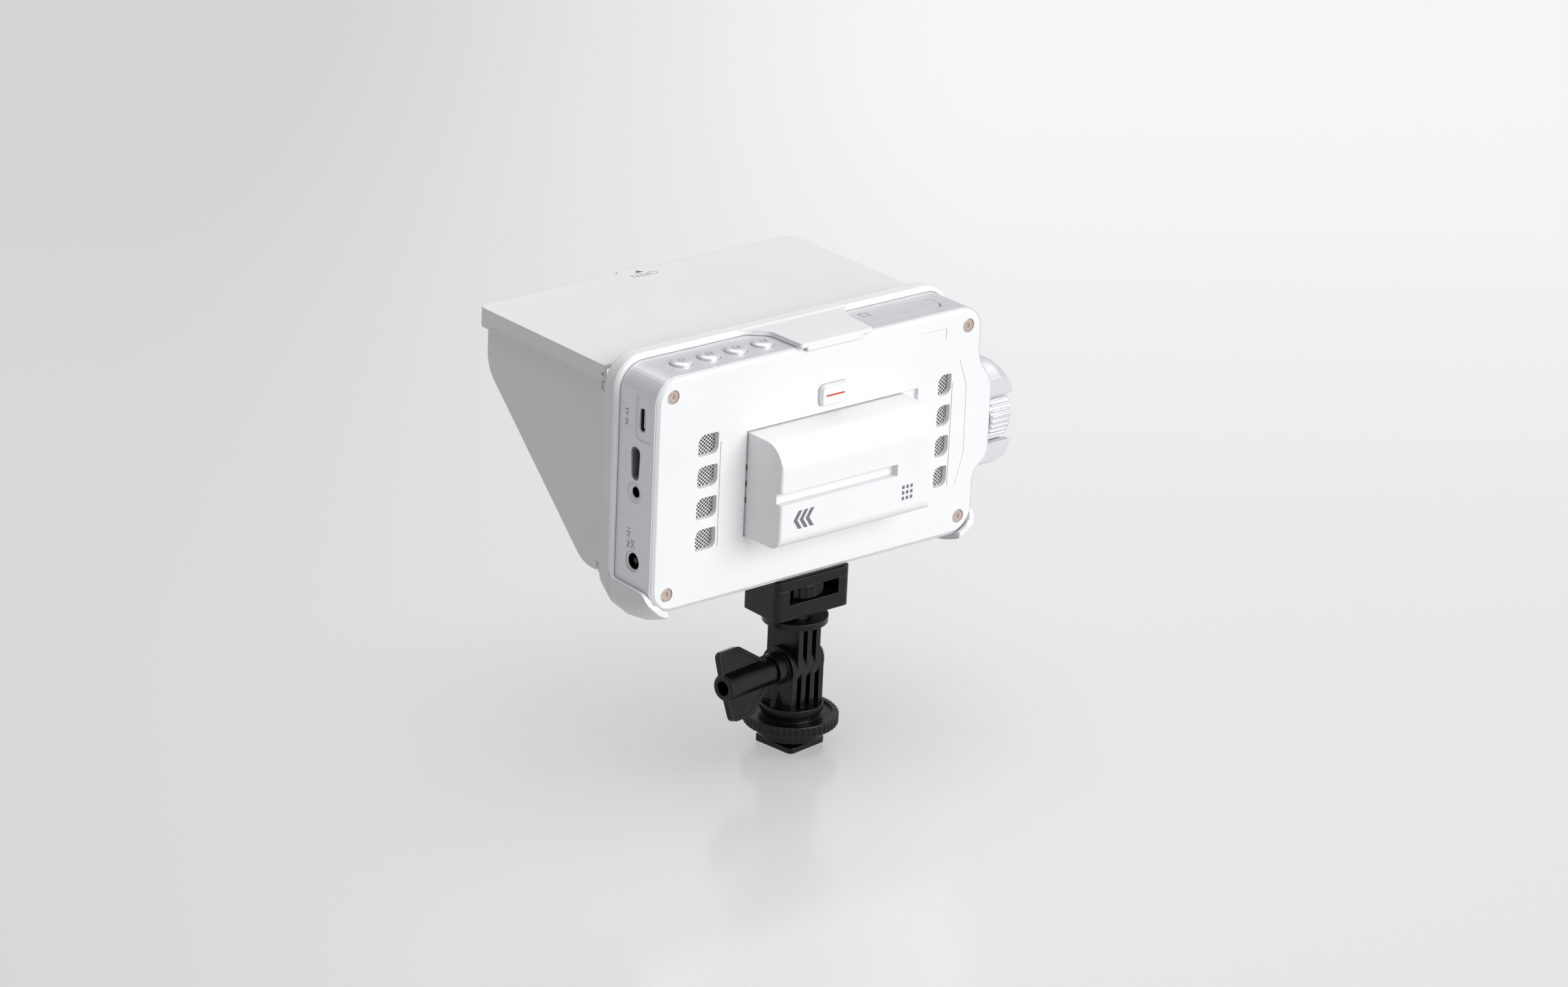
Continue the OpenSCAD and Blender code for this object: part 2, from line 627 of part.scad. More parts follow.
board_y = 9.5;
board_x0 = -in_x + 13.9;
board_x1 = in_x - 19.9;
board_z0 = -top_z + 19.6;
board_z1 = in_z - 29.4;
board_holes = [for (x = [board_x0 + 18, board_x1 - 6], z = [board_z0 + 4, board_z1 - 4]) [x, z]];
module main_board() color("darkgreen") on_monitor() {
    difference() {
        block([board_x0, board_y, board_z0], [board_x1, board_y + 1.6, board_z1]);
        for (p = board_holes) translate([p[0], 0, p[1]]) rod_y(0, 20, 1.55);
    }
    block([-20, board_y - 1.2, board_z0 + 14], [-4, board_y, board_z1 - 6]);
    block([8, board_y - 1.2, board_z0 + 18], [20, board_y, board_z1 - 6]);
    for (x = [-34, 28, 35]) block([x, board_y - 1, board_z1 - 12], [x + 4, board_y, board_z1 - 6]);
}

module heat_sink() color("lightgray") on_monitor() {
    z0 = board_z0 + 11;
    z1 = board_z1 - 3;
    block([-22, board_y - 2.2, z0], [24, board_y - 1.2, z1]);
    for (k = [0:11]) block([-22 + k * 4, board_y - 5.4, z0], [-20.9 + k * 4, board_y - 2.1, z1]);
}

switch_z = top_z - wall - seat - 1 - key_travel - 0.1;
module key_board() color("darkgreen") on_monitor() {
    x0 = key_x - 5.5;
    x1 = key_x + (key_count - 1) * key_pitch + 5.5;
    block([x0, key_y - 4, switch_z - 3.4], [x1, key_y + 4, switch_z - 1.8]);
    for (k = [0:key_count - 1]) translate([key_x + k * key_pitch, key_y, switch_z - 1.8]) {
        block([-2.2, -2.2, 0], [2.2, 2.2, 1.2]);
        cylinder(h = 1.8, r = 1);
    }
    // Posts that hang the board from the top wall
    for (k = [0.5, key_count - 1.5]) translate([key_x + k * key_pitch, key_y + 3, switch_z - 1.8]) cylinder(h = in_z - switch_z + 1.8, r = 0.9);
}

module key(k) color("silver") on_monitor() translate([key_x + k * key_pitch, key_y, 0]) {
    z0 = top_z - wall - seat;
    translate([0, 0, z0 - 1]) cylinder(h = 1, r = key_r + 0.7);
    translate([0, 0, z0 - 0.1]) cylinder(h = wall + seat + key_out - 0.5, r = key_r);
    translate([0, 0, top_z + key_out - 0.6]) cylinder(h = 0.6, r1 = key_r, r2 = key_r - 0.8);
}
module key_1() key(0);
module key_2() key(1);
module key_3() key(2);
module key_4() key(3);

knob_x = bulge_x + 0.7;
module encoder() color("dimgray") on_monitor() translate([0, knob_y, knob_z]) difference() {
    union() {
        block([in_x - 8, -6.2, -6.2], [in_x, panel_y - knob_y - 0.2, 6.2]);
        block([in_x - 9.6, -7.5, -9], [in_x - 8, panel_y - knob_y - 0.2, 9]);
    }
    rod_x(in_x - 6, big, shaft_r + fit);
}
module knob_shaft() color("lightgray") on_monitor() translate([0, knob_y, knob_z])
    rod_x(in_x - 5.7, knob_x + knob_l - 2.5, shaft_r);
module jog_knob() color("silver") on_monitor() translate([knob_x, knob_y, knob_z]) difference() {
    union() {
        rod_x(0, knob_l, knob_r);
        for (k = [0:knob_ribs - 1]) rotate([k * 360 / knob_ribs, 0, 0]) translate([0, 0, knob_r])
            rod_x(0.6, knob_l - 0.6, knob_rib_r);
    }
    rod_x(-1, knob_l - 2.5, shaft_r + 0.01);
    // Dished end and hollow back
    difference() {
        rod_x(knob_l - 1, knob_l + 1, knob_r - 1.6);
        rod_x(knob_l - 2, knob_l - 0.5, knob_r - 2.4);
    }
    difference() {
        rod_x(-1, knob_l - 3, knob_r - 1.8);
        rod_x(-2, knob_l, shaft_r + 2);
    }
}

module charging_socket() color("gray") on_monitor() {
    difference() {
        along_x(-side_x + 0.6, -in_x + 6) usb_shape(0);
        along_x(-side_x - 1, -in_x + 5) usb_shape(-0.35);
    }
    block([-side_x + 1.4, usb_y - 0.35, usb_z - 3.2], [-in_x + 5.5, usb_y + 0.35, usb_z + 3.2]);
}

module strap_slot_cup() color("black") on_monitor() difference() {
    along_x(-side_x + 0.4, -in_x + 4) slot_shape(0.55);
    along_x(-side_x - 1, -in_x + 3) slot_shape(-0.2);
    along_x(-side_x - 1, -side_x + 1.2) slot_shape(0);
}

module jack(z, r) translate([0, jack_y, z]) difference() {
    rod_x(-side_x + 0.1, -in_x + 11, sleeve_r);
    rod_x(-side_x - 1, -in_x + 10, r);
    // Countersunk mouth
    translate([-side_x - 0.1, 0, 0]) rotate([0, 90, 0]) cylinder(h = 0.9, r1 = r + 1.3, r2 = r);
}
module headphone_jack() color("dimgray") on_monitor() jack(phone_z, phone_r);
module power_jack() color("dimgray") on_monitor() {
    jack(power_z, power_r);
    translate([0, jack_y, power_z]) rod_x(-side_x + 1.6, -in_x + 10.5, power_pin_r);
}

module video_socket() color("gray") on_monitor() translate([video_x, mount_y, -top_z]) difference() {
    block([-7.5, -2.3, 0.5], [7.5, 2.3, 11.5]);
    difference() {
        block([-7, -1.8, 0], [7, 1.8, 10.5]);
        block([-5.5, -0.5, 2], [5.5, 0.5, 11]);
    }
}

card_z = top_z - card_t;
module card_cover() color("silver") on_monitor() difference() {
    union() {
        difference() {
            translate([0, 0, card_z]) linear_extrude(card_t) card_shape();
            // Fingernail notch at the free end
            translate([card_x0 - 1, card_y0 - 1, card_z - 0.5]) rotate(45) cube([2.6, 2.6, 2], center = true);
        }
        // Hinge eye
        translate([card_hinge_x, 0, card_hinge_z]) rod_y(card_y0 + 2, card_y0 + card_w - 2, card_t / 2);
    }
    translate([card_hinge_x, 0, card_hinge_z]) rod_y(0, body_d, card_pin_r + fit);
}
module card_cover_pin() color("lightgray") on_monitor() translate([card_hinge_x, 0, card_hinge_z])
    rod_y(card_y0 - 1.5, card_y0 + card_w + 1.5, card_pin_r);
module card_socket() color("gray") on_monitor() translate([card_x0 + 16, card_y0 + card_w / 2, 0]) difference() {
    block([-14, -2, in_z - 28], [14, 2, in_z]);
    block([-12.2, -1.2, in_z - 26], [12.2, 1.2, in_z + 1]);
}

module battery_terminals() color("black") on_monitor() {
    translate([batt_x + 4, 0, batt_z]) {
        block([-2.5, seat_d + 0.1, -9], [2.5, cover_t + 1.4, 9]);
        for (z = [-6, 0, 6]) block([-1, batt_y - front_t + 0.1, z - 0.6], [1, seat_d + 0.2, z + 0.6]);
        block([-3.5, cover_t + 0.1, -10], [3.5, cover_t + 1.4, 10]);
    }
}

module release_button() color("white") on_monitor() translate([button_x, 0, button_z]) {
    along_y(-button_out + 0.5, cover_t + 0.6) round_rect(button_w, button_h, 1.7);
    along_y(-button_out, -button_out + 0.5) round_rect(button_w - 0.8, button_h - 0.8, 1.3);
    // Flange behind the cover and the arm down to the latch
    block([-button_w / 2 - 1, cover_t + seat, -button_h / 2 - 1], [button_w / 2 + 1, cover_t + seat + 1, button_h / 2 + 1]);
    arm_z = batt_z + batt_h / 2 - 4 - button_z;
    block([-2, cover_t + seat, arm_z], [2, cover_t + seat + 1, 0]);
    block([-2, seat_d + 0.1, arm_z], [2, cover_t + seat + 0.5, arm_z + 3]);
}

insert_r = tripod_r + 1.4;
module thread_insert() color("gold") on_monitor() translate([0, mount_y, -top_z]) difference() {
    cylinder(h = 8, r = insert_r);
    translate([0, 0, -1]) cylinder(h = 8, r = tripod_r + 0.07);
}

// The pack's body: a section along X whose ends are rounded off at the rear
module batt_solid() {
    y0 = batt_y - batt_t;
    z0 = batt_z - batt_h / 2;
    z1 = batt_z + batt_h / 2;
    intersection() {
        along_x(batt_x - 1, batt_end + 1)
            polygon(rounded([[y0, z0, batt_r_low], [batt_y, z0, 0.5], [batt_y, z1, 0.5], [y0, z1, batt_r_top]], 12));
        translate([0, 0, z0 - 1]) linear_extrude(batt_h + 2)
            polygon(rounded([[batt_x, y0, 1.2], [batt_end, y0, batt_r_end], [batt_end, batt_y + 1, 0], [batt_x, batt_y + 1, 0]], 6));
    }
}
cell_y = batt_y - batt_t + 0.9 + cell_r;
cell_x = batt_end - 3 - cell_l;
module at_cells() for (s = [-1, 1]) translate([cell_x, cell_y, batt_z + s * (cell_r + 0.3)]) children();

module battery_case() color("white") on_monitor() difference() {
    batt_solid();
    block([batt_x - 1, batt_y - front_t, -top_z], [batt_end + 1, batt_y + 1, top_z]);
    at_cells() rod_x(-0.2, cell_l + 0.2, cell_r + 0.05);
    block([batt_x + 0.8, cell_y, batt_z - 12], [batt_end - 3, batt_y, batt_z + 12]);
    block([batt_x - 1, batt_y - batt_t - 1, batt_z - groove_w / 2], [batt_x + groove_l, batt_y - batt_t + groove_d, batt_z + groove_w / 2]);
    lug_slots();
}
module battery_front() color("whitesmoke") on_monitor() difference() {
    intersection() {
        batt_solid();
        block([batt_x - 1, batt_y - front_t, -top_z], [batt_end + 1, batt_y + 1, top_z]);
    }
    lug_slots();
    // Contact windows, open at the left end
    for (z = [-6, 0, 6]) block([batt_x - 1, batt_y - front_t - 1, batt_z + z - 1.1], [batt_x + 5.2, batt_y + 1, batt_z + z + 1.1]);
}
module battery_cells() color("steelblue") on_monitor() at_cells() rod_x(0, cell_l, cell_r);
module battery_board() color("darkgreen") on_monitor()
    block([batt_x + 0.9, batt_y - front_t - 2, batt_z - 11.9], [cell_x - 0.1, batt_y - front_t - 0.05, batt_z + 11.9]);

// Claws that grip the housing's lower corners; [distance from the rear face, share of the drop]
claw_belly = [[-1.4, -0.1], [0.6, 0.18], [6.6, 0.75], [14.3, 1], [22, 0.77], [frame_front - 0.6, 0.06]];
module claw_body() hull() for (b = claw_belly) {
    x = side_x + frame_out;
    z = -top_z - frame_out;
    translate([0, b[0], 0]) rotate([90, 0, 0]) linear_extrude(0.02) polygon(rounded([
        [x, -top_z / 2, 0], [x, z - b[1] * claw_drop, corner_r + frame_out - 3.3 * max(0, b[1])],
        [side_x - 14, z - b[1] * claw_drop, 3], [side_x - 24, z + 0.4, 0], [side_x - 24, -top_z / 2, 0]]));
}
module claws() for (m = [0, 1]) mirror([m, 0, 0]) difference() {
    intersection() {
        claw_body();
        along_x(0, big) polygon(rounded([
            [frame_front, -top_z + 14, 0], [frame_y - 1, -top_z + 8.6, 3], [2.4, -top_z + 8.2, 3.5], [-3, -top_z + 0.8, 0],
            [-3, -big, 0], [frame_front, -big, 0]]));
    }
    along_y(-0.2, frame_y + 2) body_rect(-frame_gap);
    along_y(-2, 0) body_rect(rim_chamfer - 0.4);
    // Tongue under the housing that narrows towards the rear
    block([0, -4, -big], [side_x - 7, 5, 0]);
    translate([side_x - 21, 5, -big]) cylinder(h = big, r = 14);
}
clip_x = [-12.6, 20.6];
module top_clip() difference() {
    union() {
        translate([0, 0, top_z + frame_gap]) linear_extrude(frame_out - frame_gap) polygon(rounded([
            [clip_x[0] - 9, frame_y + 1, 0], [clip_x[0] - 5, frame_y - 1.2, 3], [clip_x[0], frame_y - 6, 4],
            [clip_x[0] + 0.6, -1.4, 1], [clip_x[1], -1.4, 1], [clip_x[1] + 1, frame_y - 8, 4],
            [clip_x[1] + 4, frame_y - 1.5, 3], [clip_x[1] + 7, frame_y + 1, 0]]));
        block([clip_x[0] + 3.6, -1.4, top_z - 1.4], [clip_x[1] - 4.2, -0.2, top_z + frame_out - 0.3]);
    }
}
frame_in_w = body_w - 2 * frame_border;
frame_in_h = body_h - 2 * frame_border;
collar_w = 2 * wing_x + 2 * barrel_r;
module lid_knuckle(x0, x1) {
    translate([0, lid_hinge_y, lid_hinge_z]) rod_x(x0, x1, barrel_r);
    block([x0, collar_y - 1, lid_hinge_z - 1], [x1, lid_hinge_y, lid_hinge_z + 1]);
    block([x0, collar_y - 2, lid_hinge_z - 1], [x1, collar_y, lid_z - 0.5]);
}
module wing_ear(s, z0) difference() {
    union() {
        translate([s * wing_x, wing_y, z0]) cylinder(h = ear_t, r = barrel_r);
        block([s * wing_x - barrel_r, collar_y - 2, z0], [s * wing_x + barrel_r, wing_y, z0 + ear_t]);
    }
    translate([s * wing_x, wing_y, z0 - 1]) cylinder(h = ear_t + 2, r = pin_r + 0.01);
}
lid_ears = [[-ear_x, ear_w - ear_x], [-9, 9], [ear_x - ear_w, ear_x]];
module hood_frame() color("white") on_monitor() difference() {
    union() {
        difference() {
            union() {
                body_taper(frame_y, frame_y + 0.6, -0.6, -frame_out + 0.4, false);
                body_taper(frame_y + 0.6, frame_y + 1.6, -frame_out + 0.4, -frame_out, false);
                along_y(frame_y + 1.6, frame_front - 0.6) body_rect(-frame_out);
                body_taper(frame_front - 0.6, frame_front, -frame_out, -frame_out + 0.6, false);
                // Collar that carries the hinges
                along_y(frame_front - 1, collar_y) translate([0, (lid_z + wing_low) / 2])
                    round_rect(collar_w, lid_z - wing_low, 3);
                claws();
                top_clip();
            }
            along_y(frame_y - 1, flange_y) body_rect(-frame_gap);
            along_y(flange_y - 1, frame_front + 10) round_rect(frame_in_w, frame_in_h, 3);
            along_y(frame_front - 0.4, collar_y + 1) translate([0, (lid_z + wing_low) / 2])
                round_rect(collar_w - 3, lid_z - wing_low - 3, 1.5);
        }
        for (e = lid_ears) lid_knuckle(e[0], e[1]);
        for (s = [-1, 1]) {
            wing_ear(s, wing_top - ear_t - 0.2);
            wing_ear(s, wing_low + 0.2);
        }
    }
    // Bore of the lid's hinge pins
    translate([0, lid_hinge_y, lid_hinge_z]) rod_x(-ear_x - 1, ear_x + 1, pin_r + 0.01);
}

// Lid outline seen from above, drawn in by an inset
function lid_outline(i) = rounded([
    [-lid_w / 2 + i, lid_y0, 0], [-lid_w / 2 + i, lid_front - i, lid_r - i],
    [lid_w / 2 - i, lid_front - i, lid_r - i], [lid_w / 2 - i, lid_y0, 0]]);
module hood_lid() color("white") on_monitor() difference() {
    union() {
        translate([0, 0, lid_z - lid_t]) linear_extrude(lid_t) polygon(lid_outline(0));
        difference() {
            translate([0, 0, lid_z - lid_rim - 1.4]) linear_extrude(lid_rim + 1.4 - lid_t / 2) polygon(lid_outline(0));
            translate([0, 0, lid_z - lid_rim - 2]) linear_extrude(lid_rim + 2 - lid_t) polygon(concat(
                [for (p = lid_outline(lid_rim_t)) [p[0], p[1] < lid_y0 + 1 ? p[1] - 2 : p[1]]]));
            // The rim is deeper only round the front corners
            block([-big, 0, 0], [big, lid_front - 8.4, lid_z - lid_rim]);
            block([-lid_w / 2 + 6, 0, 0], [lid_w / 2 - 6, big, lid_z - lid_rim]);
        }
        // Pull tab
        translate([0, 0, lid_z - lid_t - 1]) linear_extrude(lid_t + 1) polygon(rounded([
            [-10, lid_front - 1, 0], [-8.5, lid_front + 2.6, 1.2], [4.1, lid_front + 2.6, 1.2], [5.6, lid_front - 1, 0]]));
        // Hinge barrels
        for (m = [0, 1]) mirror([m, 0, 0]) {
            x1 = ear_x - ear_w - seat;
            translate([0, lid_hinge_y, lid_hinge_z]) rod_x(9.3, x1, barrel_r);
            block([9.3, lid_hinge_y - 1, lid_hinge_z], [x1, lid_hinge_y + 1, lid_z - lid_t / 2]);
        }
    }
    translate([0, lid_hinge_y, lid_hinge_z]) rod_x(-big, big, pin_r + fit);
}
module lid_hinge_pins() color("lightgray") on_monitor() translate([0, lid_hinge_y, lid_hinge_z])
    for (m = [0, 1]) mirror([m, 0, 0]) rod_x(2, ear_x - 0.6, pin_r);

module wing(s) on_monitor() mirror([s > 0 ? 1 : 0, 0, 0]) difference() {
    union() {
        translate([-wing_x, wing_y, wing_low + ear_t + 0.5]) cylinder(h = wing_top - wing_low - 2 * ear_t - 1, r = barrel_r);
        along_x(-wing_x - wing_t / 2, -wing_x + wing_t / 2) polygon(rounded([
            [wing_y, wing_top - ear_t - 0.5, 0], [wing_y + 2.2, wing_top - ear_t - 0.5, 0],
            [wing_y + 2.2, wing_top, 0.5], [wing_front, wing_top, 0.5], [wing_front, wing_knee, 14],
            [wing_y + wing_foot, wing_low, 12], [wing_y + 2.2, wing_low, 0.5],
            [wing_y + 2.2, wing_low + ear_t + 0.5, 0], [wing_y, wing_low + ear_t + 0.5, 0]]));
    }
    for (z = [wing_top - ear_t - 6, wing_low + ear_t - 1]) translate([-wing_x, wing_y, z]) cylinder(h = 7, r = pin_r + fit);
}
module hood_wing_left() color("white") wing(-1);
module hood_wing_right() color("white") wing(1);
module wing_hinge_pins() color("lightgray") on_monitor() for (s = [-1, 1])
    for (z = [wing_top - ear_t - 5.5, wing_low + 0.4]) translate([s * wing_x, wing_y, z]) cylinder(h = 8, r = pin_r);

// Screw box under the monitor
module mount_pad() color("black") translate([0, 0, box_z + box_h]) linear_extrude(pad_t) difference() {
    round_rect(box_w - 2, box_d - 2, 2);
    circle(tripod_r + 1);
}
module box_cap() color("black") translate([0, 0, box_z + box_h - cap_h]) linear_extrude(cap_h) difference() {
    round_rect(box_w, box_d, 2.5);
    circle(tripod_r + fit);
}
window_w = 22.6;
thumb_z = box_z + box_h - cap_h - thumb_t - 0.4;
module box_base() color("black") difference() {
    translate([0, 0, box_z]) linear_extrude(box_h - cap_h) round_rect(box_w, box_d, 2.5);
    // Room for the thumb wheel, open to the front and the rear
    block([-window_w / 2, -big, thumb_z - 0.4], [window_w / 2, big, big]);
    // Bore and head recess of the swivel screw
    translate([0, 0, box_z - 1]) cylinder(h = box_h, r = 2.1);
    translate([0, 0, thumb_z - 2.6]) cylinder(h = box_h, r = 3.9);
}
module thumb_wheel() color("black") translate([0, 0, thumb_z]) difference() {
    union() {
        cylinder(h = thumb_t, r = thumb_r - 0.5);
        for (k = [0:thumb_ribs - 1]) rotate(k * 360 / thumb_ribs) translate([thumb_r - 0.7, 0, 0.5])
            cylinder(h = thumb_t - 1, r = 0.7);
    }
    translate([0, 0, -1]) cylinder(h = thumb_t + 2, r = tripod_r + 0.01);
}
module tripod_screw() color("lightgray") translate([0, 0, thumb_z + 0.4])
    cylinder(h = monitor_z - top_z + 5.6 - thumb_z, r = tripod_r);

// Swivel and tilt
module swivel_washer() color("lightgray") translate([0, 0, box_z - washer_t]) linear_extrude(washer_t) difference() {
    circle(hub_r);
    circle(2.1);
}
module swivel_screw() color("lightgray") {
    translate([0, 0, head_z - 1]) cylinder(h = thumb_z - 2.4 - head_z + 1, r = 2);
    translate([0, 0, thumb_z - 2.5]) cylinder(h = 1.8, r = 3.6);
}
module finger(x, dir) {
    // dir is 1 for a finger that stands up to the bolt and -1 for one that hangs down to it
    x0 = x - finger_t / 2;
    x1 = x + finger_t / 2;
    z_end = dir > 0 ? base_z + disc_t / 2 : head_z + disc_t / 2;
    translate([0, 0, bolt_z]) rod_x(x0, x1, finger_r);
    block([x0, -finger_r, min(z_end, bolt_z)], [x1, finger_r, max(z_end, bolt_z)]);
}
module swivel_head() color("black") on_mount() difference() {
    union() {
        translate([0, 0, head_z]) cylinder(h = disc_t, r = disc_r);
        translate([0, 0, head_z + disc_t - eps]) cylinder(h = hub_t + eps, r = hub_r);
        for (k = [-1:1]) finger(k * finger_pitch, -1);
    }
    translate([0, 0, head_z - 1]) cylinder(h = big, r = 2 + 0.01);
    translate([0, 0, bolt_z]) rod_x(-big, big, bolt_r + fit);
}
boss_r = 6;
boss_l = 4.6;
clevis_x = 1.5 * finger_pitch + finger_t / 2;
module clevis_base() color("black") on_mount() difference() {
    union() {
        translate([0, 0, base_z]) cylinder(h = disc_t, r = disc_r - 0.3);
        for (k = [-1.5:1.5]) finger(k * finger_pitch, 1);
        translate([0, 0, bolt_z]) rod_x(-clevis_x - boss_l, -clevis_x + 1, boss_r);
        translate([0, 0, bolt_z]) rod_x(clevis_x - 1, clevis_x + 1.8, boss_r + 0.3);
        // Gusset between the boss and the base
        along_y(-0.9, 0.9) polygon([[-clevis_x + 1, base_z + disc_t / 2], [-disc_r + 1.4, base_z + disc_t / 2], [-clevis_x + 1, bolt_z - boss_r + 1]]);
    }
    translate([0, 0, bolt_z]) rod_x(-big, big, bolt_r + 0.02);
    // Hexagon that holds the acorn nut
    translate([clevis_x + 0.2, 0, bolt_z]) rotate([0, 90, 0]) cylinder(h = big, r = nut_r + 0.05, $fn = 6);
    translate([0, 0, base_z - 1]) cylinder(h = disc_t + 1 - 0.6, r = stem_r + 0.01);
}
nut_r = 4.6;
module tilt_bolt() color("lightgray") on_mount() translate([0, 0, bolt_z])
    rod_x(-clevis_x - boss_l - 11, clevis_x + 4.4, bolt_r);
module acorn_nut() color("rosybrown") on_mount() translate([clevis_x + 0.3, 0, bolt_z]) difference() {
    union() {
        rotate([0, 90, 0]) cylinder(h = 2.6, r = nut_r, $fn = 6);
        rod_x(0, 3.6, 3.7);
        intersection() {
            translate([3.2, 0, 0]) sphere(3.7);
            rod_x(3.2, 8, 4);
        }
    }
    rod_x(-1, 4.2, bolt_r + 0.01);
}
nut_x = -clevis_x - boss_l - seat;
module wing_nut() color("black") on_mount() translate([nut_x, 0, bolt_z]) rotate([-wing_nut_lean, 0, 0]) {
    l = wing_nut_l;
    difference() {
        union() {
            rod_x(-l + 0.6, 0, wing_nut_r);
            translate([-l, 0, 0]) rotate([0, 90, 0]) cylinder(h = 0.6, r1 = wing_nut_r - 0.6, r2 = wing_nut_r);
            for (s = [0, 180]) rotate([s, 0, 0]) {
                difference() {
                    along_y(-1.3, 1.3) wing_plate(0);
                    for (y = [[-2, -0.8], [0.8, 2]]) along_y(y[0], y[1]) wing_plate(1.3);
                }
            }
        }
        rod_x(-l - 1, -11.4, 2.8);
        rod_x(-12, 1, bolt_r + fit);
    }
}
module wing_plate(i) {
    l = wing_nut_l;
    h = wing_nut_span;
    polygon(rounded([
        [-2 - i, 1, 0], [-2 - i * 1.6, wing_nut_r, 0], [-13 - i * 0.6, h - i, 3 - i],
        [-l + 0.5 + i, h - i, 2.2 - i], [-l + 0.1 + i, 3, 0], [-l + 0.6 + i, 1, 0]]));
}

module locking_wheel() color("black") on_mount() difference() {
    union() {
        translate([0, 0, wheel_z]) cylinder(h = wheel_t, r = wheel_r - 0.5);
        for (k = [0:wheel_ribs - 1]) rotate(k * 360 / wheel_ribs) translate([wheel_r - 0.7, 0, wheel_z + 0.3])
            cylinder(h = wheel_t - 0.6, r = 0.7);
        translate([0, 0, collar_z]) cylinder(h = collar_t + eps, r = collar_r);
        translate([0, 0, wheel_z]) cylinder(h = wheel_t + 1.5, r = disc_r - 1.2);
    }
    translate([0, 0, -1]) cylinder(h = big, r = stem_r + fit);
    // Dished top
    translate([0, 0, wheel_z + wheel_t - 0.8]) difference() {
        cylinder(h = 2, r = wheel_r - 2.2);
        cylinder(h = 2, r = disc_r - 1.2);
    }
}
module shoe_foot() color("black") on_mount() {
    linear_extrude(foot_t) round_rect(foot_w, foot_w, foot_r);
    cylinder(h = base_z + disc_t - 0.7, r = stem_r);
}

housing();
rear_cover();
cover_screws();
vent_mesh();
touch_glass();
screen_panel();
main_board();
heat_sink();
key_board();
key_1();
key_2();
key_3();
key_4();
encoder();
knob_shaft();
jog_knob();
charging_socket();
strap_slot_cup();
headphone_jack();
power_jack();
video_socket();
card_cover();
card_cover_pin();
card_socket();
battery_terminals();
release_button();
thread_insert();
battery_case();
battery_front();
battery_cells();
battery_board();
hood_frame();
hood_lid();
lid_hinge_pins();
wing_hinge_pins();
hood_wing_left();
hood_wing_right();
mount_pad();
box_cap();
box_base();
thumb_wheel();
tripod_screw();
swivel_washer();
swivel_screw();
swivel_head();
clevis_base();
tilt_bolt();
acorn_nut();
wing_nut();
locking_wheel();
shoe_foot();
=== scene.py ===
# %% [markdown]
# # A camera field monitor with sun hood, dressed for a studio picture
#
# The real object is a white and silver monitor that clips on a camera, seen from behind,
# with its battery, its folding hood and its black mount. All its solids are packed
# already, in metres, with the shoe foot's underside at the origin, X to the right and Y
# towards the screen. This script gives each solid a finish, adds the details that are too
# fine for solids, and builds the camera, the floor and the lights.

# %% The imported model
import bpy
import bmesh
import json
import math
from mathutils import Matrix, Vector


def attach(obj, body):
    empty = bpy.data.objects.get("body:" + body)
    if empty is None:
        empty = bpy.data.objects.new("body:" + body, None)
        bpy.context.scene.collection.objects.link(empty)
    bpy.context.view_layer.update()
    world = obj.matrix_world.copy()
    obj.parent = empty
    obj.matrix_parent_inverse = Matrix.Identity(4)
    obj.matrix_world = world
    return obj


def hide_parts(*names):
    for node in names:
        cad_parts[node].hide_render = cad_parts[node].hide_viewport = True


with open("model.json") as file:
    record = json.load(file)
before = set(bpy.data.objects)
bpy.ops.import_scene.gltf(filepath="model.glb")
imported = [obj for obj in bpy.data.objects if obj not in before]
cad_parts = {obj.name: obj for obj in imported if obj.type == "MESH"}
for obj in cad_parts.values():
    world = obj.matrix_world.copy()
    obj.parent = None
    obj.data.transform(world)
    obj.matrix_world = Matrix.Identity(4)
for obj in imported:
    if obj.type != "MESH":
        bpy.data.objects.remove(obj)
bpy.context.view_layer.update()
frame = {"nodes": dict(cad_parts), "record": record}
nodes = frame["nodes"]

# %% [markdown]
# ## Camera
#
# A product picture like this is taken with a long lens from some way off, so that parallel
# edges stay nearly parallel. A camera could be aimed by eye or with a Track To constraint.
# This one was fitted to the photograph instead, so it is set by numbers: the azimuth and
# elevation of its direction, a small roll, its distance, and its focal length in pixels of
# a picture 2408 wide. Three unit vectors then make its rotation.

# %% The camera
AZIMUTH, ELEVATION, ROLL = (math.radians(angle) for angle in (-40.34, 21.46, 2.56))
TARGET = Vector((-0.01578, -0.0095, 0.10221))
DISTANCE = 1.8435
FOCAL_PIXELS, PICTURE_WIDTH, SENSOR_MM = 8072.9, 2408, 36
NEAREST, FARTHEST = 0.05, 60

back = Vector((math.sin(AZIMUTH) * math.cos(ELEVATION),
               -math.cos(AZIMUTH) * math.cos(ELEVATION), math.sin(ELEVATION)))
level = Vector((math.cos(AZIMUTH), math.sin(AZIMUTH), 0))
right = math.cos(ROLL) * level + math.sin(ROLL) * back.cross(level)
up = back.cross(right)

camera = bpy.data.objects.new("camera", bpy.data.cameras.new("camera"))
bpy.context.scene.collection.objects.link(camera)
camera.data.sensor_fit = "HORIZONTAL"
camera.data.sensor_width = SENSOR_MM
camera.data.lens = SENSOR_MM * FOCAL_PIXELS / PICTURE_WIDTH
camera.data.clip_start, camera.data.clip_end = NEAREST, FARTHEST
turn = Matrix((right, up, back)).transposed().to_4x4()
camera.matrix_world = Matrix.Translation(TARGET + back * DISTANCE) @ turn
bpy.context.scene.camera = camera
bpy.context.scene.view_settings.view_transform = "Standard"
print("lens: %.1f mm at %.2f m" % (camera.data.lens, DISTANCE))

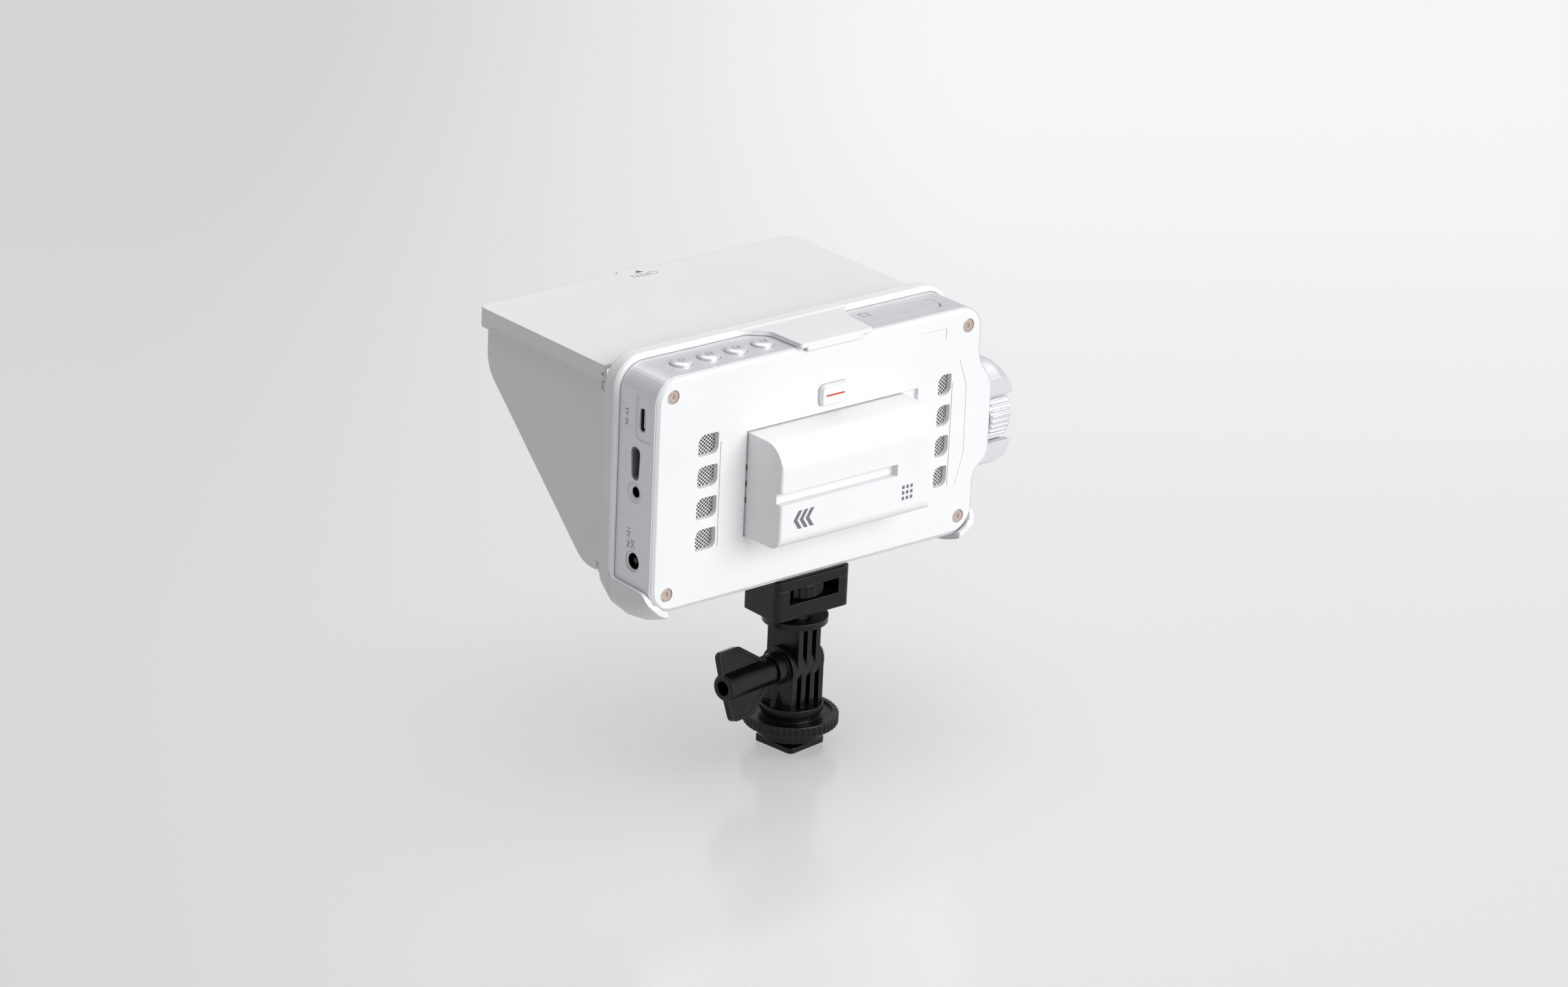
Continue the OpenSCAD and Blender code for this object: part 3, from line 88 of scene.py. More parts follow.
# %% [markdown]
# ## Tools for materials
#
# A material in Blender is a graph of small nodes. Made one by one, a node takes several
# lines of code, so one function adds a node of any kind, and each material reads as a list
# of what it is made of. Another function turns a screen colour into the linear values that
# light adds up in. The texture coordinates are in metres, so a pattern of a given size in
# millimetres has a scale of a thousand divided by that size.

# %% Colours and sizes
def linear(code):
    """Linear values of an sRGB hex colour."""
    parts = [int(code[i:i + 2], 16) / 255 for i in (0, 2, 4)]
    return tuple(c / 12.92 if c <= 0.04045 else ((c + 0.055) / 1.055) ** 2.4 for c in parts) + (1,)


def per_mm(size):
    """The scale of a texture whose pattern repeats in about this many millimetres."""
    return 1000 / size


print("mid grey 808080 is linear %.3f" % linear("808080")[0])

# %% Nodes
# Where a node has several inputs of one name, the later ones go by their order
LATER_INPUTS = {"second": 1, "third": 2}


def add(mat, kind, **given):
    """Adds a node. Capitalised names are inputs, set or linked, and the rest are settings."""
    node = mat.node_tree.nodes.new("ShaderNode" + kind)
    for name, value in given.items():
        if name[0].islower() and name not in LATER_INPUTS:
            setattr(node, name, value)
            continue
        socket = node.inputs[LATER_INPUTS.get(name, name.replace("_", " "))]
        if isinstance(value, bpy.types.NodeSocket):
            mat.node_tree.links.new(value, socket)
        else:
            socket.default_value = value
    return node.outputs


def start(name):
    """A new material and the place of each point, in metres."""
    mat = bpy.data.materials.new(name)
    mat.use_nodes = True
    mat.node_tree.nodes.clear()
    return mat, add(mat, "TexCoord")["Object"]


# Noise stays mostly between these values, so they are stretched to the range that is wanted
NOISE = {"From_Min": 0.3, "From_Max": 0.7}
print("tools for materials are ready")

# %% [markdown]
# ## Moulded ABS
#
# The shells are ABS moulded in a spark-eroded tool. It leaves a fine even grain, real at
# about 0.1 mm and drawn here at 0.5 mm so that it shows, and a satin gloss that changes a
# little from place to place. The colour drifts by a percent or so over some centimetres.
# The edges of a moulding are never sharp. They could be rounded with a Bevel modifier, but
# the solids stay as they are, so a Bevel node rounds only the light on them. ABS has an IOR
# of about 1.53.

# %% The moulded finish
PLASTIC_IOR = 1.53
# Rays that each Bevel node spends on a point, and how far the light of a chamfer falls
BEVEL_SAMPLES, CHAMFER_FALL = 6, 0.0008


def moulded(name, color, gloss, grain_mm, depth_mm, edge_mm, drift, highlight_gain,
            chamfer=None, shine=None):
    """Its chamfer is a span of depths in metres, and shine is the gloss left in the pits."""
    mat, place = start(name)
    cloud = add(mat, "TexNoise", Vector=place, Scale=per_mm(30), Detail=2.0)["Fac"]
    flow = add(mat, "TexNoise", Vector=place, Scale=per_mm(5), Detail=3.0)["Fac"]
    grain = add(mat, "TexNoise", Vector=place, Scale=per_mm(grain_mm), Detail=3.0,
                Roughness=0.6)["Fac"]
    rounded = add(mat, "Bevel", samples=BEVEL_SAMPLES, Radius=edge_mm / 1000)["Normal"]
    flat = add(mat, "NewGeometry")["Normal"]
    if chamfer:
        depth = add(mat, "SeparateXYZ", Vector=place)["Y"]
        fall = add(mat, "MapRange", Value=depth, From_Min=chamfer[0], From_Max=chamfer[1])["Result"]
        rounded = add(mat, "Bump", Height=fall, Normal=rounded, Distance=CHAMFER_FALL)["Normal"]
    # 0 on a face and more on an edge, for a painted highlight and for the gloss of polished edges
    edge = add(mat, "VectorMath", operation="DISTANCE", Vector=rounded, second=flat)["Value"]
    # Painted highlight: the colour is lightened along edges, where light would catch them
    edge_highlight = add(mat, "MapRange", Value=edge, From_Max=0.8, To_Min=1.0, To_Max=highlight_gain)["Result"]
    tone = add(mat, "MapRange", Value=cloud, To_Min=1 - drift, To_Max=1 + drift, **NOISE)["Result"]
    both = add(mat, "Math", operation="MULTIPLY", Value=tone, second=edge_highlight)["Value"]
    shade = add(mat, "HueSaturation", Color=color, Value=both)["Color"]
    rough = add(mat, "MapRange", Value=flow, To_Min=gloss - 0.05, To_Max=gloss + 0.05,
                **NOISE)["Result"]
    bumps = add(mat, "Bump", Height=grain, Normal=rounded, Distance=depth_mm / 1000)["Normal"]
    level_of_gloss = {}
    if shine is not None:
        # The pits of a deep grain swallow part of the gloss, and polished edges keep all of it
        level_of_gloss["Specular_IOR_Level"] = add(
            mat, "MapRange", Value=edge, From_Max=0.5, To_Min=shine, To_Max=0.5)["Result"]
    shader = add(mat, "BsdfPrincipled", Base_Color=shade, Roughness=rough, Normal=bumps,
                 IOR=PLASTIC_IOR, **level_of_gloss)["BSDF"]
    add(mat, "OutputMaterial", Surface=shader)
    return mat


print("the moulded finish is ready, IOR", PLASTIC_IOR)

# %% [markdown]
# ## White, black and grey ABS
#
# The white shells look almost flat, for their grain is shallow. The black mount has a deeper
# grain and glossier polished edges, painted lighter too as a painted highlight, so they read
# as thin light lines. The slot on the left side is darker grey. The hood's frame ends at the
# rear in a wide soft chamfer. It could be cut more steeply into the solid, but a Bump node
# that tilts the light gives the same look and leaves the solid alone.

# %% The ABS colours
SHELL = {"color": linear("EDEEEF"), "gloss": 0.42, "grain_mm": 0.5, "depth_mm": 0.004,
         "drift": 0.012, "highlight_gain": 1.0}
# Depths in metres between which the frame's chamfer falls
FRAME_CHAMFER = (0.0111, 0.0130)
white_abs = moulded("white_abs", edge_mm=0.40, **SHELL)
frame_abs = moulded("white_abs_frame", edge_mm=0.80, chamfer=FRAME_CHAMFER, **SHELL)
black_abs = moulded("black_abs", linear("0A0A0B"), gloss=0.28, grain_mm=0.45, depth_mm=0.008,
                    edge_mm=0.35, drift=0.08, highlight_gain=1.8, shine=0.26)
slate_abs = moulded("slate_abs", linear("7A7C82"), gloss=0.35, grain_mm=0.5, depth_mm=0.004,
                    edge_mm=0.30, drift=0.03, highlight_gain=1.0)
print("moulded:", white_abs.name, frame_abs.name, black_abs.name, slate_abs.name)

# %% [markdown]
# ## Rubber and sleeve
#
# The pad on the screw box is soft black rubber, matt with a coarse cast grain. The battery
# cells wear a thin shrink sleeve of PVC, glossy with slight waves. Each could have a graph
# of its own, but both have nearly the IOR of ABS and a grain that noise can draw, so they
# are the same graph with other sizes.

# %% Rubber and PVC sleeve
black_rubber = moulded("black_rubber", linear("121212"), gloss=0.72, grain_mm=0.6,
                       depth_mm=0.030, edge_mm=0.30, drift=0.10, highlight_gain=1.2)
pvc_sleeve = moulded("pvc_sleeve", linear("2C5C90"), gloss=0.28, grain_mm=3.0,
                     depth_mm=0.010, edge_mm=0.30, drift=0.03, highlight_gain=1.0)
print("soft skins:", black_rubber.name, pvc_sleeve.name)

# %% [markdown]
# ## Silver paint
#
# The housing, keys and knob are painted with aluminium flakes under a clear coat. The
# resin between the flakes scatters light too, so the paint is only half a metal. Real
# flakes are some hundredths of a millimetre, drawn here at 0.35 mm so that they show: each
# cell is a touch lighter or darker and tilts a little, which breaks the gloss up finely.
# Noise could do it as well, but Voronoi cells have the flat facets of flakes. The punched
# sheets in the vents wear a paler and duller coat of the same kind.

# %% Aluminium-flake paint
FLAKE_MM, FLAKE_TILT, PAINT_EDGE = 0.35, 0.000004, 0.0004
MOUTH_BLUR = 0.00005


def flake_paint(name, color, gloss, mouth_x=None):
    """Flakes under a clear coat. With mouth_x, what lies deeper than it is black plastic."""
    mat, place = start(name)
    flake = add(mat, "TexVoronoi", Vector=place, Scale=per_mm(FLAKE_MM))["Color"]
    grey = add(mat, "RGBToBW", Color=flake)["Val"]
    flow = add(mat, "TexNoise", Vector=place, Scale=per_mm(6), Detail=3.0)["Fac"]
    tone = add(mat, "MapRange", Value=grey, To_Min=0.95, To_Max=1.05)["Result"]
    shade = add(mat, "HueSaturation", Color=color, Value=tone)["Color"]
    rough = add(mat, "MapRange", Value=flow, To_Min=gloss - 0.04, To_Max=gloss + 0.04,
                **NOISE)["Result"]
    rounded = add(mat, "Bevel", samples=BEVEL_SAMPLES, Radius=PAINT_EDGE)["Normal"]
    bumps = add(mat, "Bump", Height=grey, Normal=rounded, Distance=FLAKE_TILT)["Normal"]
    shader = add(mat, "BsdfPrincipled", Base_Color=shade, Roughness=rough, Normal=bumps,
                 Metallic=0.5, Coat_Weight=0.2, Coat_Roughness=0.25)["BSDF"]
    if mouth_x is not None:
        # Deeper than the mouth, a jack is bare black plastic
        across = add(mat, "SeparateXYZ", Vector=place)["X"]
        deep = add(mat, "MapRange", Value=across, From_Min=mouth_x - MOUTH_BLUR,
                   From_Max=mouth_x + MOUTH_BLUR)["Result"]
        hole = add(mat, "BsdfPrincipled", Base_Color=linear("0A0A0B"), Roughness=rough,
                   Normal=bumps)["BSDF"]
        shader = add(mat, "MixShader", Fac=deep, second=shader, third=hole)["Shader"]
    add(mat, "OutputMaterial", Surface=shader)
    return mat


silver_paint = flake_paint("silver_paint", linear("DDDEE1"), 0.36)
pale_paint = flake_paint("pale_nickel_paint", linear("E6E5E3"), 0.45)
print("paint:", silver_paint.name, pale_paint.name)

# %% [markdown]
# ## Silver-mouthed jacks
#
# The two round jacks on the left side have a silver ring at the mouth and black plastic
# inside. Two pieces could carry the two finishes, but each jack is one solid, so one
# material changes from silver to black 0.7 mm below the side's face.

# %% The jacks' finish
MOUTH_X = -0.0734
jack_finish = flake_paint("silver_mouth_black_hole", linear("D4D5D8"), 0.30, MOUTH_X)
print("jacks:", jack_finish.name)

# %% [markdown]
# ## Turned and extruded metals
#
# Screws, pins, nuts and inserts are turned: the tool leaves fine rings round the axis.
# Extruded aluminium has fine lines along its length. Real lines are finer than 0.1 mm and
# are drawn here at 0.3 to 0.4 mm. An anisotropic shader could stretch the gloss, but it
# needs a tangent that solids don't carry, so one noise does it, squeezed across the lines.
# It changes the gloss and tilts the surface a little.

# %% Steel, rose gold plating, brass and aluminium
LINE_DEPTH, METAL_EDGE = 0.000004, 0.00015


def lined_metal(name, color, gloss, squeeze):
    """The squeeze says how many times finer the lines are across than along, on each axis."""
    mat, place = start(name)
    lines = add(mat, "Mapping", Vector=place, Scale=squeeze)["Vector"]
    grain = add(mat, "TexNoise", Vector=lines, Scale=per_mm(8), Detail=2.0)["Fac"]
    cloud = add(mat, "TexNoise", Vector=place, Scale=per_mm(5), Detail=2.0)["Fac"]
    tone = add(mat, "MapRange", Value=cloud, To_Min=0.96, To_Max=1.04, **NOISE)["Result"]
    shade = add(mat, "HueSaturation", Color=color, Value=tone)["Color"]
    rough = add(mat, "MapRange", Value=grain, To_Min=gloss - 0.06, To_Max=gloss + 0.08,
                **NOISE)["Result"]
    rounded = add(mat, "Bevel", samples=BEVEL_SAMPLES, Radius=METAL_EDGE)["Normal"]
    bumps = add(mat, "Bump", Height=grain, Normal=rounded, Distance=LINE_DEPTH)["Normal"]
    shader = add(mat, "BsdfPrincipled", Base_Color=shade, Roughness=rough, Normal=bumps,
                 Metallic=1.0)["BSDF"]
    add(mat, "OutputMaterial", Surface=shader)
    return mat


turned_steel = lined_metal("turned_steel", linear("B9BABC"), 0.32, (1, 24, 1))
rose_plating = lined_metal("rose_gold_plating", linear("DACAC0"), 0.19, (1, 20, 1))
brass = lined_metal("turned_brass", linear("C9A55A"), 0.35, (1, 1, 24))
aluminium = lined_metal("extruded_aluminium", linear("C8CACC"), 0.45, (24, 1, 1))
print("metals:", turned_steel.name, rose_plating.name, brass.name, aluminium.name)

# %% [markdown]
# ## Screen glass
#
# The front is soda-lime glass, IOR 1.52, over a display that is switched off. A black
# print runs round its rim, and the display inside is a dark neutral grey. Clear glass over
# a second piece would cost many light bounces for a picture that is dark anyway, so one
# glossy surface shows both, and two ramps mark off the display. The glass is polished, and
# only fingertips and dust disturb its gloss.

# %% Glass over a dark display
# Height of the monitor's middle and the half sizes of its display, in metres
MONITOR_Z = 0.112
DISPLAY_HALF = (0.0612, 0.0345)
DISPLAY_BLUR, GLASS_EDGE = 0.0001, 0.0003
DISPLAY_LIFT, GLASS_IOR = 2.6, 1.52


def screen_glass():
    mat, place = start("screen_glass")
    parts = add(mat, "SeparateXYZ", Vector=place)
    inside = []
    for axis, middle, half in (("X", 0, DISPLAY_HALF[0]), ("Z", MONITOR_Z, DISPLAY_HALF[1])):
        off = add(mat, "Math", operation="SUBTRACT", Value=parts[axis], second=middle)["Value"]
        far = add(mat, "Math", operation="ABSOLUTE", Value=off)["Value"]
        inside.append(add(mat, "MapRange", Value=far, From_Min=half - DISPLAY_BLUR,
                          From_Max=half + DISPLAY_BLUR, To_Min=1.0, To_Max=0.0)["Result"])
    display = add(mat, "Math", operation="MULTIPLY", Value=inside[0], second=inside[1])["Value"]
    lift = add(mat, "MapRange", Value=display, To_Min=1.0, To_Max=DISPLAY_LIFT)["Result"]
    shade = add(mat, "HueSaturation", Color=linear("0A0A0C"), Value=lift)["Color"]
    smear = add(mat, "TexNoise", Vector=place, Scale=per_mm(14), Detail=4.0)["Fac"]
    rough = add(mat, "MapRange", Value=smear, From_Min=0.35, From_Max=0.7, To_Min=0.03,
                To_Max=0.08)["Result"]
    rounded = add(mat, "Bevel", samples=BEVEL_SAMPLES, Radius=GLASS_EDGE)["Normal"]
    shader = add(mat, "BsdfPrincipled", Base_Color=shade, Roughness=rough, Normal=rounded,
                 IOR=GLASS_IOR)["BSDF"]
    add(mat, "OutputMaterial", Surface=shader)
    return mat


front_glass = screen_glass()
print("glass:", front_glass.name)

# %% [markdown]
# ## Circuit board
#
# A board is woven glass in epoxy under green solder mask. Copper tracks show through as
# lighter lines. Real tracks branch and turn, which would take drawn curves. The board shows
# only through gaps, so a brick pattern stands in: tracks 0.3 mm wide round fields of 2.5 by
# 1.25 mm, with a slight relief.

# %% Solder mask over tracks
TRACK_PATTERN_MM, TRACK_RELIEF = 5, 0.00003


def circuit_board():
    mat, place = start("solder_mask")
    face = add(mat, "Mapping", Vector=place, Rotation=(math.radians(90), 0, 0))["Vector"]
    tracks = add(mat, "TexBrick", Vector=face, Scale=per_mm(TRACK_PATTERN_MM),
                 Color1=linear("0D4226"), Color2=linear("0B3B22"), Mortar=linear("1F7040"),
                 Mortar_Size=0.03)
    wet = add(mat, "TexNoise", Vector=place, Scale=per_mm(3))["Fac"]
    rough = add(mat, "MapRange", Value=wet, To_Min=0.22, To_Max=0.42)["Result"]
    bumps = add(mat, "Bump", Height=tracks["Fac"], Distance=TRACK_RELIEF)["Normal"]
    shader = add(mat, "BsdfPrincipled", Base_Color=tracks["Color"], Roughness=rough,
                 Normal=bumps)["BSDF"]
    add(mat, "OutputMaterial", Surface=shader)
    return mat


solder_mask = circuit_board()
print("board:", solder_mask.name)

# %% [markdown]
# ## Dressing the solids
#
# The record names a slot for each solid, such as white plastic or steel. Each slot gets
# the finish made above, a few solids have one of their own, and no solid is left with the
# plain colour it came with. Two tables do this in one loop, which is shorter and harder to
# get wrong than fifty lines that name the solids one by one.

# %% Finishes on the solids
FINISHES = {
    "silver_paint": silver_paint, "white_plastic": white_abs, "black_plastic": black_abs,
    "rose_gold_metal": rose_plating, "steel": turned_steel, "brass_insert": brass,
    "aluminium_bare": aluminium, "screen_glass": front_glass, "board_green": solder_mask,
    "cell_sleeve": pvc_sleeve, "black_rubber": black_rubber,
}
OWN_FINISHES = {
    "hood_frame": frame_abs, "strap_slot_cup": slate_abs,
    "headphone_jack": jack_finish, "power_jack": jack_finish,
}
for part in frame["record"]["subparts"]:
    mesh = nodes[part["node"]].data
    mesh.materials.clear()
    mesh.materials.append(OWN_FINISHES.get(part["node"], FINISHES[part["material_slot"]]))

# %% [markdown]
# ## Tools for the added pieces
#
# Places on the monitor are in millimetres from the middle of its rear face, as on a
# drawing, and one function moves them into the model's frame. A second makes a thin plate
# from an outline. A cube that is scaled and moved could do for a plate, but an outline can
# have any shape. A third makes a mesh into a piece that rides on a body and wears the finish
# that it is given.

# %% Places and plates
# The monitor's rear face lies this far behind the mount's axis, in millimetres
MOUNT_Y = 9.5


def at(x, y, z):
    return Vector((x / 1000, (y - MOUNT_Y) / 1000, z / 1000 + MONITOR_Z))


def on_rear(y):
    """Plates on a face that looks back, at depth y."""
    return lambda u, v, w: at(u, y - w, v)


def on_top(z):
    """Plates on a face that looks up, at height z."""
    return lambda u, v, w: at(u, v, z + w)


def plate(bm, outline, place, thick, sunk=0.02):
    """A plate that stands proud of its face by thick and sinks into it a little."""
    low = [bm.verts.new(place(u, v, -sunk)) for u, v in outline]
    top = [bm.verts.new(place(u, v, thick)) for u, v in outline]
    bm.faces.new(low)
    bm.faces.new(top)
    for i in range(len(outline)):
        j = (i + 1) % len(outline)
        bm.faces.new((low[i], low[j], top[j], top[i]))


print("the monitor's rear face has its middle at", tuple(round(v, 4) for v in at(0, 0, 0)))

# %% Pieces
def carried(name, mesh, mat, body):
    """An object for a mesh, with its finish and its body."""
    mesh.materials.clear()
    mesh.materials.append(mat)
    obj = bpy.data.objects.new(name, mesh)
    bpy.context.scene.collection.objects.link(obj)
    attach(obj, body)
    return obj


def piece(name, bm, mat, body):
    bmesh.ops.recalc_face_normals(bm, faces=bm.faces)
    mesh = bpy.data.meshes.new(name)
    bm.to_mesh(mesh)
    bm.free()
    return carried(name, mesh, mat, body)


print("tools for pieces are ready")

# %% [markdown]
# ## Punched sheets behind the vents
#
# The vents show a pale punched sheet. Its holes are about 0.7 mm wide in staggered rows,
# and they are drawn 0.9 mm wide here, because smaller ones fade to a pale grey in a picture
# of this size. Each hole could be cut with a boolean, but a sheet of some hundred holes is
# quicker and cleaner to build: every hole sits in its own small rhombus, and the rhombuses
# tile the sheet without a gap.

# %% One hole in its rhombus
HOLE_R, PITCH_X, PITCH_Z = 0.44, 1.57, 0.69
# Depth of the sheet's outer face and its thickness
SHEET_FACE, SHEET_T = 2.2, 0.4
# Corners and points between them on the rhombus round a hole, in half widths
RHOMBUS = [(1 - k / 4, k / 4) for k in range(4)] + [(-k / 4, 1 - k / 4) for k in range(4)]
RHOMBUS += [(-u, -v) for u, v in RHOMBUS]


def punched_hole(bm, x, z):
    rim, near, far = [], [], []
    for u, v in RHOMBUS:
        turn = math.atan2(v * PITCH_Z, u * PITCH_X / 2)
        hx, hz = x + HOLE_R * math.cos(turn), z + HOLE_R * math.sin(turn)
        rim.append(bm.verts.new(at(x + u * PITCH_X / 2, SHEET_FACE, z + v * PITCH_Z)))
        near.append(bm.verts.new(at(hx, SHEET_FACE, hz)))
        far.append(bm.verts.new(at(hx, SHEET_FACE + SHEET_T, hz)))
    for k in range(len(RHOMBUS)):
        m = (k + 1) % len(RHOMBUS)
        bm.faces.new((rim[k], rim[m], near[m], near[k]))
        bm.faces.new((near[k], near[m], far[m], far[k]))


print("points round a hole:", len(RHOMBUS))

# %% The sheets
# The middle of each column of vents and the width of its sheet, wider than the windows
VENT_W = {-50.8: 11.2, 57.2: 8.4}
VENT_ROWS_Z = [16 - 11.75 * k for k in range(4)]
SHEET_HALF = 5.4
SAME_POINT = 1e-6


def punched_sheet(bm, middle_x, width):
    count = 0
    bottom, top = VENT_ROWS_Z[-1] - SHEET_HALF, VENT_ROWS_Z[0] + SHEET_HALF
    columns = int(width / PITCH_X)
    for row in range(int((top - bottom) / PITCH_Z)):
        z = bottom + (row + 0.5) * PITCH_Z
        if min(abs(z - middle) for middle in VENT_ROWS_Z) < SHEET_HALF:
            for column in range(columns - row % 2):
                step = column - (columns - 1) / 2 + row % 2 / 2
                punched_hole(bm, middle_x + step * PITCH_X, z)
                count += 1
    return count


bm = bmesh.new()
holes = sum(punched_sheet(bm, x, w) for x, w in VENT_W.items())
bmesh.ops.remove_doubles(bm, verts=bm.verts, dist=SAME_POINT)
vent_sheets = piece("vent_sheets", bm, pale_paint, "monitor")
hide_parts("vent_mesh")
print("punched holes:", holes)

# %% [markdown]
# ## Painted shade behind the vents
#
# A black plate behind the sheets is painted shade: it stands in for the dark inside of the
# monitor and makes the holes look dark. Only pinholes of it are seen, so it is a thin plate
# with the matt rubber finish.

# %% The painted shade plate behind the sheets
# It stands on a face 3.25 mm deep and reaches back to just behind the sheet
SHADE_PLATE_HALF, SHADE_PLATE_SEAT, SHADE_PLATE_T = 5.1, 3.25, 0.6
bm = bmesh.new()
for middle_x, width in VENT_W.items():
    low, high = VENT_ROWS_Z[-1] - SHADE_PLATE_HALF, VENT_ROWS_Z[0] + SHADE_PLATE_HALF
    left, far = middle_x - width / 2, middle_x + width / 2
    outline = [(left, low), (far, low), (far, high), (left, high)]
    plate(bm, outline, on_rear(SHADE_PLATE_SEAT), SHADE_PLATE_T, 0)
# Painted shade: a black plate stands in for the dark inside behind the holes
piece("vent_shade_plate", bm, black_rubber, "monitor")
print("liner plates:", len(VENT_W))

# %% [markdown]
# ## Inks
#
# The marks are pad-printed: a few hundredths of a millimetre of matt ink. A mask in the
# material could colour the faces instead, but plates of ink keep a sharp edge at any
# distance and need no coordinates on the face. Seen close, ink is slightly uneven, so a
# fine noise, drawn at 0.4 mm, changes its tone and gloss.

# %% Grey and red ink
INK_T = 0.03


def printing_ink(name, color):
    mat, place = start(name)
    speck = add(mat, "TexNoise", Vector=place, Scale=per_mm(0.4), Detail=3.0)["Fac"]
    tone = add(mat, "MapRange", Value=speck, To_Min=0.9, To_Max=1.1)["Result"]
    shade = add(mat, "HueSaturation", Color=color, Value=tone)["Color"]
    rough = add(mat, "MapRange", Value=speck, To_Min=0.4, To_Max=0.6)["Result"]
    shader = add(mat, "BsdfPrincipled", Base_Color=shade, Roughness=rough)["BSDF"]
    add(mat, "OutputMaterial", Surface=shader)
    return mat


light_ink = printing_ink("light_grey_ink", linear("A9AAAD"))
dark_ink = printing_ink("dark_grey_ink", linear("707176"))
side_ink = printing_ink("slate_ink", linear("5C5D62"))
red_ink = printing_ink("red_ink", linear("CE3A33"))
print("inks:", light_ink.name, dark_ink.name, side_ink.name, red_ink.name)

# %% [markdown]
# ## Marks on the battery
#
# Three chevrons show the way that the battery slides, and a block of nine dots stands
# beside them. A text font could draw the chevrons as angle brackets, but six corners give
# their exact slant.

# %% Chevrons and dots
# The pack's front face lies 1.2 mm deep in the cover's seat
PACK_FRONT, PACK_T = 1.2, 20.4
BATTERY_REAR = PACK_FRONT - PACK_T
CHEVRON = [(0, -11.3), (2.2, -14.7), (3.9, -14.7), (1.7, -11.3), (3.9, -7.9), (2.2, -7.9)]
CHEVRON_X, CHEVRON_STEP = -27.2, 2.7
DOT_X, DOT_Z, DOT_STEP_X, DOT_STEP_Z, DOT_W, DOT_H = 22.4, -14.4, 1.9, 2.1, 1.1, 1.3

bm = bmesh.new()
for k in range(3):
    # Both halves of a chevron are convex, so each is a plate of its own
    for half in (CHEVRON[:4], [CHEVRON[0], CHEVRON[3], CHEVRON[4], CHEVRON[5]]):
        outline = [(x + CHEVRON_X + k * CHEVRON_STEP, z) for x, z in half]
        plate(bm, outline, on_rear(BATTERY_REAR), INK_T)
for column in range(3):
    for row in range(3):
        x, z = DOT_X + column * DOT_STEP_X, DOT_Z + row * DOT_STEP_Z
        outline = [(x, z), (x + DOT_W, z), (x + DOT_W, z + DOT_H), (x, z + DOT_H)]
        plate(bm, outline, on_rear(BATTERY_REAR), INK_T)
piece("battery_marks", bm, dark_ink, "battery")
print("chevrons and dots made")

# %% [markdown]
# ## Red line on the release button
#
# A short red line with round ends marks the button that frees the battery. It could be a
# curve with a round bevel, but two half circles joined into one outline make a flat plate
# of ink, as the other marks are.

# %% The red line
BUTTON_REAR = -2
LINE_X, LINE_Z, LINE_HALF, LINE_R = 4.2, 24, 3.9, 0.33
ARC = [t * math.pi / 8 for t in range(9)]
line = [(LINE_X + LINE_HALF * s + LINE_R * math.sin(a) * s, LINE_Z + LINE_R * s * math.cos(a))
        for s in (1, -1) for a in ARC]
bm = bmesh.new()
plate(bm, line, on_rear(BUTTON_REAR), INK_T)
piece("button_line", bm, red_ink, "release")
print("points round the line:", len(line))

# %% [markdown]
# ## Marks on the hood and the card cover
#
# An arrow points to the pull tab, and a small outline of a card marks the card cover. The
# outline could be a curve with a thickness, but five strips with overlapping ends give
# square corners at once.

# %% The arrow
LID_TOP = 39.4
ARROW = [(-1.7, 105.2), (-3.4, 102.8), (0.0, 102.8)]
bm = bmesh.new()
plate(bm, ARROW, on_top(LID_TOP), INK_T)
piece("lid_arrow", bm, dark_ink, "lid")
print("arrow made")

# %% The card outline
CARD_TOP = 43.6
CARD = [(28.2, 12.7), (31.6, 12.7), (31.6, 15.0), (30.7, 15.7), (28.2, 15.7)]
STROKE_HALF = 0.14
bm = bmesh.new()
for i in range(len(CARD)):
    (x0, y0), (x1, y1) = CARD[i], CARD[(i + 1) % len(CARD)]
    along = Vector((x1 - x0, y1 - y0)).normalized() * STROKE_HALF
    side = Vector((-along.y, along.x))
    ends = Vector((x0, y0)) - along, Vector((x1, y1)) + along
    outline = [ends[0] - side, ends[1] - side, ends[1] + side, ends[0] + side]
    plate(bm, outline, on_top(CARD_TOP), INK_T)
piece("card_mark", bm, dark_ink, "card_flap")
print("card outline made")

# %% [markdown]
# ## Generic lettering
#
# Only words that any such thing may carry: OPEN by the pull tab, the numbers of the
# function keys and the voltages by the sockets. Text is a curve in Blender and could stay
# one, but a mesh can be turned and exported like every other mark. On top it is turned
# round, since it reads from the screen side.

# %% Text as a mesh
# A font's size is this many times the height of its capitals
SIZE_TO_CAPITALS = 1.42
LETTER_SPACING = 1.1
TURNED_ROUND = Matrix.Rotation(math.pi, 4, "Z")


def lettering(name, text, where, height_mm, mat, body, facing=TURNED_ROUND):
    curve = bpy.data.curves.new(name, "FONT")
    curve.body = text
    curve.size = height_mm / 1000 * SIZE_TO_CAPITALS
    curve.align_x, curve.align_y = "CENTER", "CENTER"
    curve.extrude = INK_T / 1000
    curve.space_character = LETTER_SPACING
    source = bpy.data.objects.new(name + "_source", curve)
    mesh = bpy.data.meshes.new_from_object(source)
    bpy.data.objects.remove(source)
    bpy.data.curves.remove(curve)
    mesh.name = name
    mesh.transform(Matrix.Translation(at(*where)) @ facing)
    return carried(name, mesh, mat, body)


print("text tool is ready")

# %% OPEN and the key numbers
KEY_Y, KEY_TOP = 10.4, 43.6 + 1.3
KEY_X = [-55.8 + 12 * k for k in range(4)]
LID_WORD_AT, LID_WORD_H, KEY_WORD_H = (-1.7, 100.3, LID_TOP), 3.0, 2.1
lettering("lid_word", "OPEN", LID_WORD_AT, LID_WORD_H, light_ink, "lid")
for k, word in ((1, "F3"), (2, "F2"), (3, "F1")):
    lettering("key_word_%d" % (k + 1), word, (KEY_X[k], KEY_Y, KEY_TOP), KEY_WORD_H, dark_ink,
              "key_%d_body" % (k + 1))
print("words on top made")

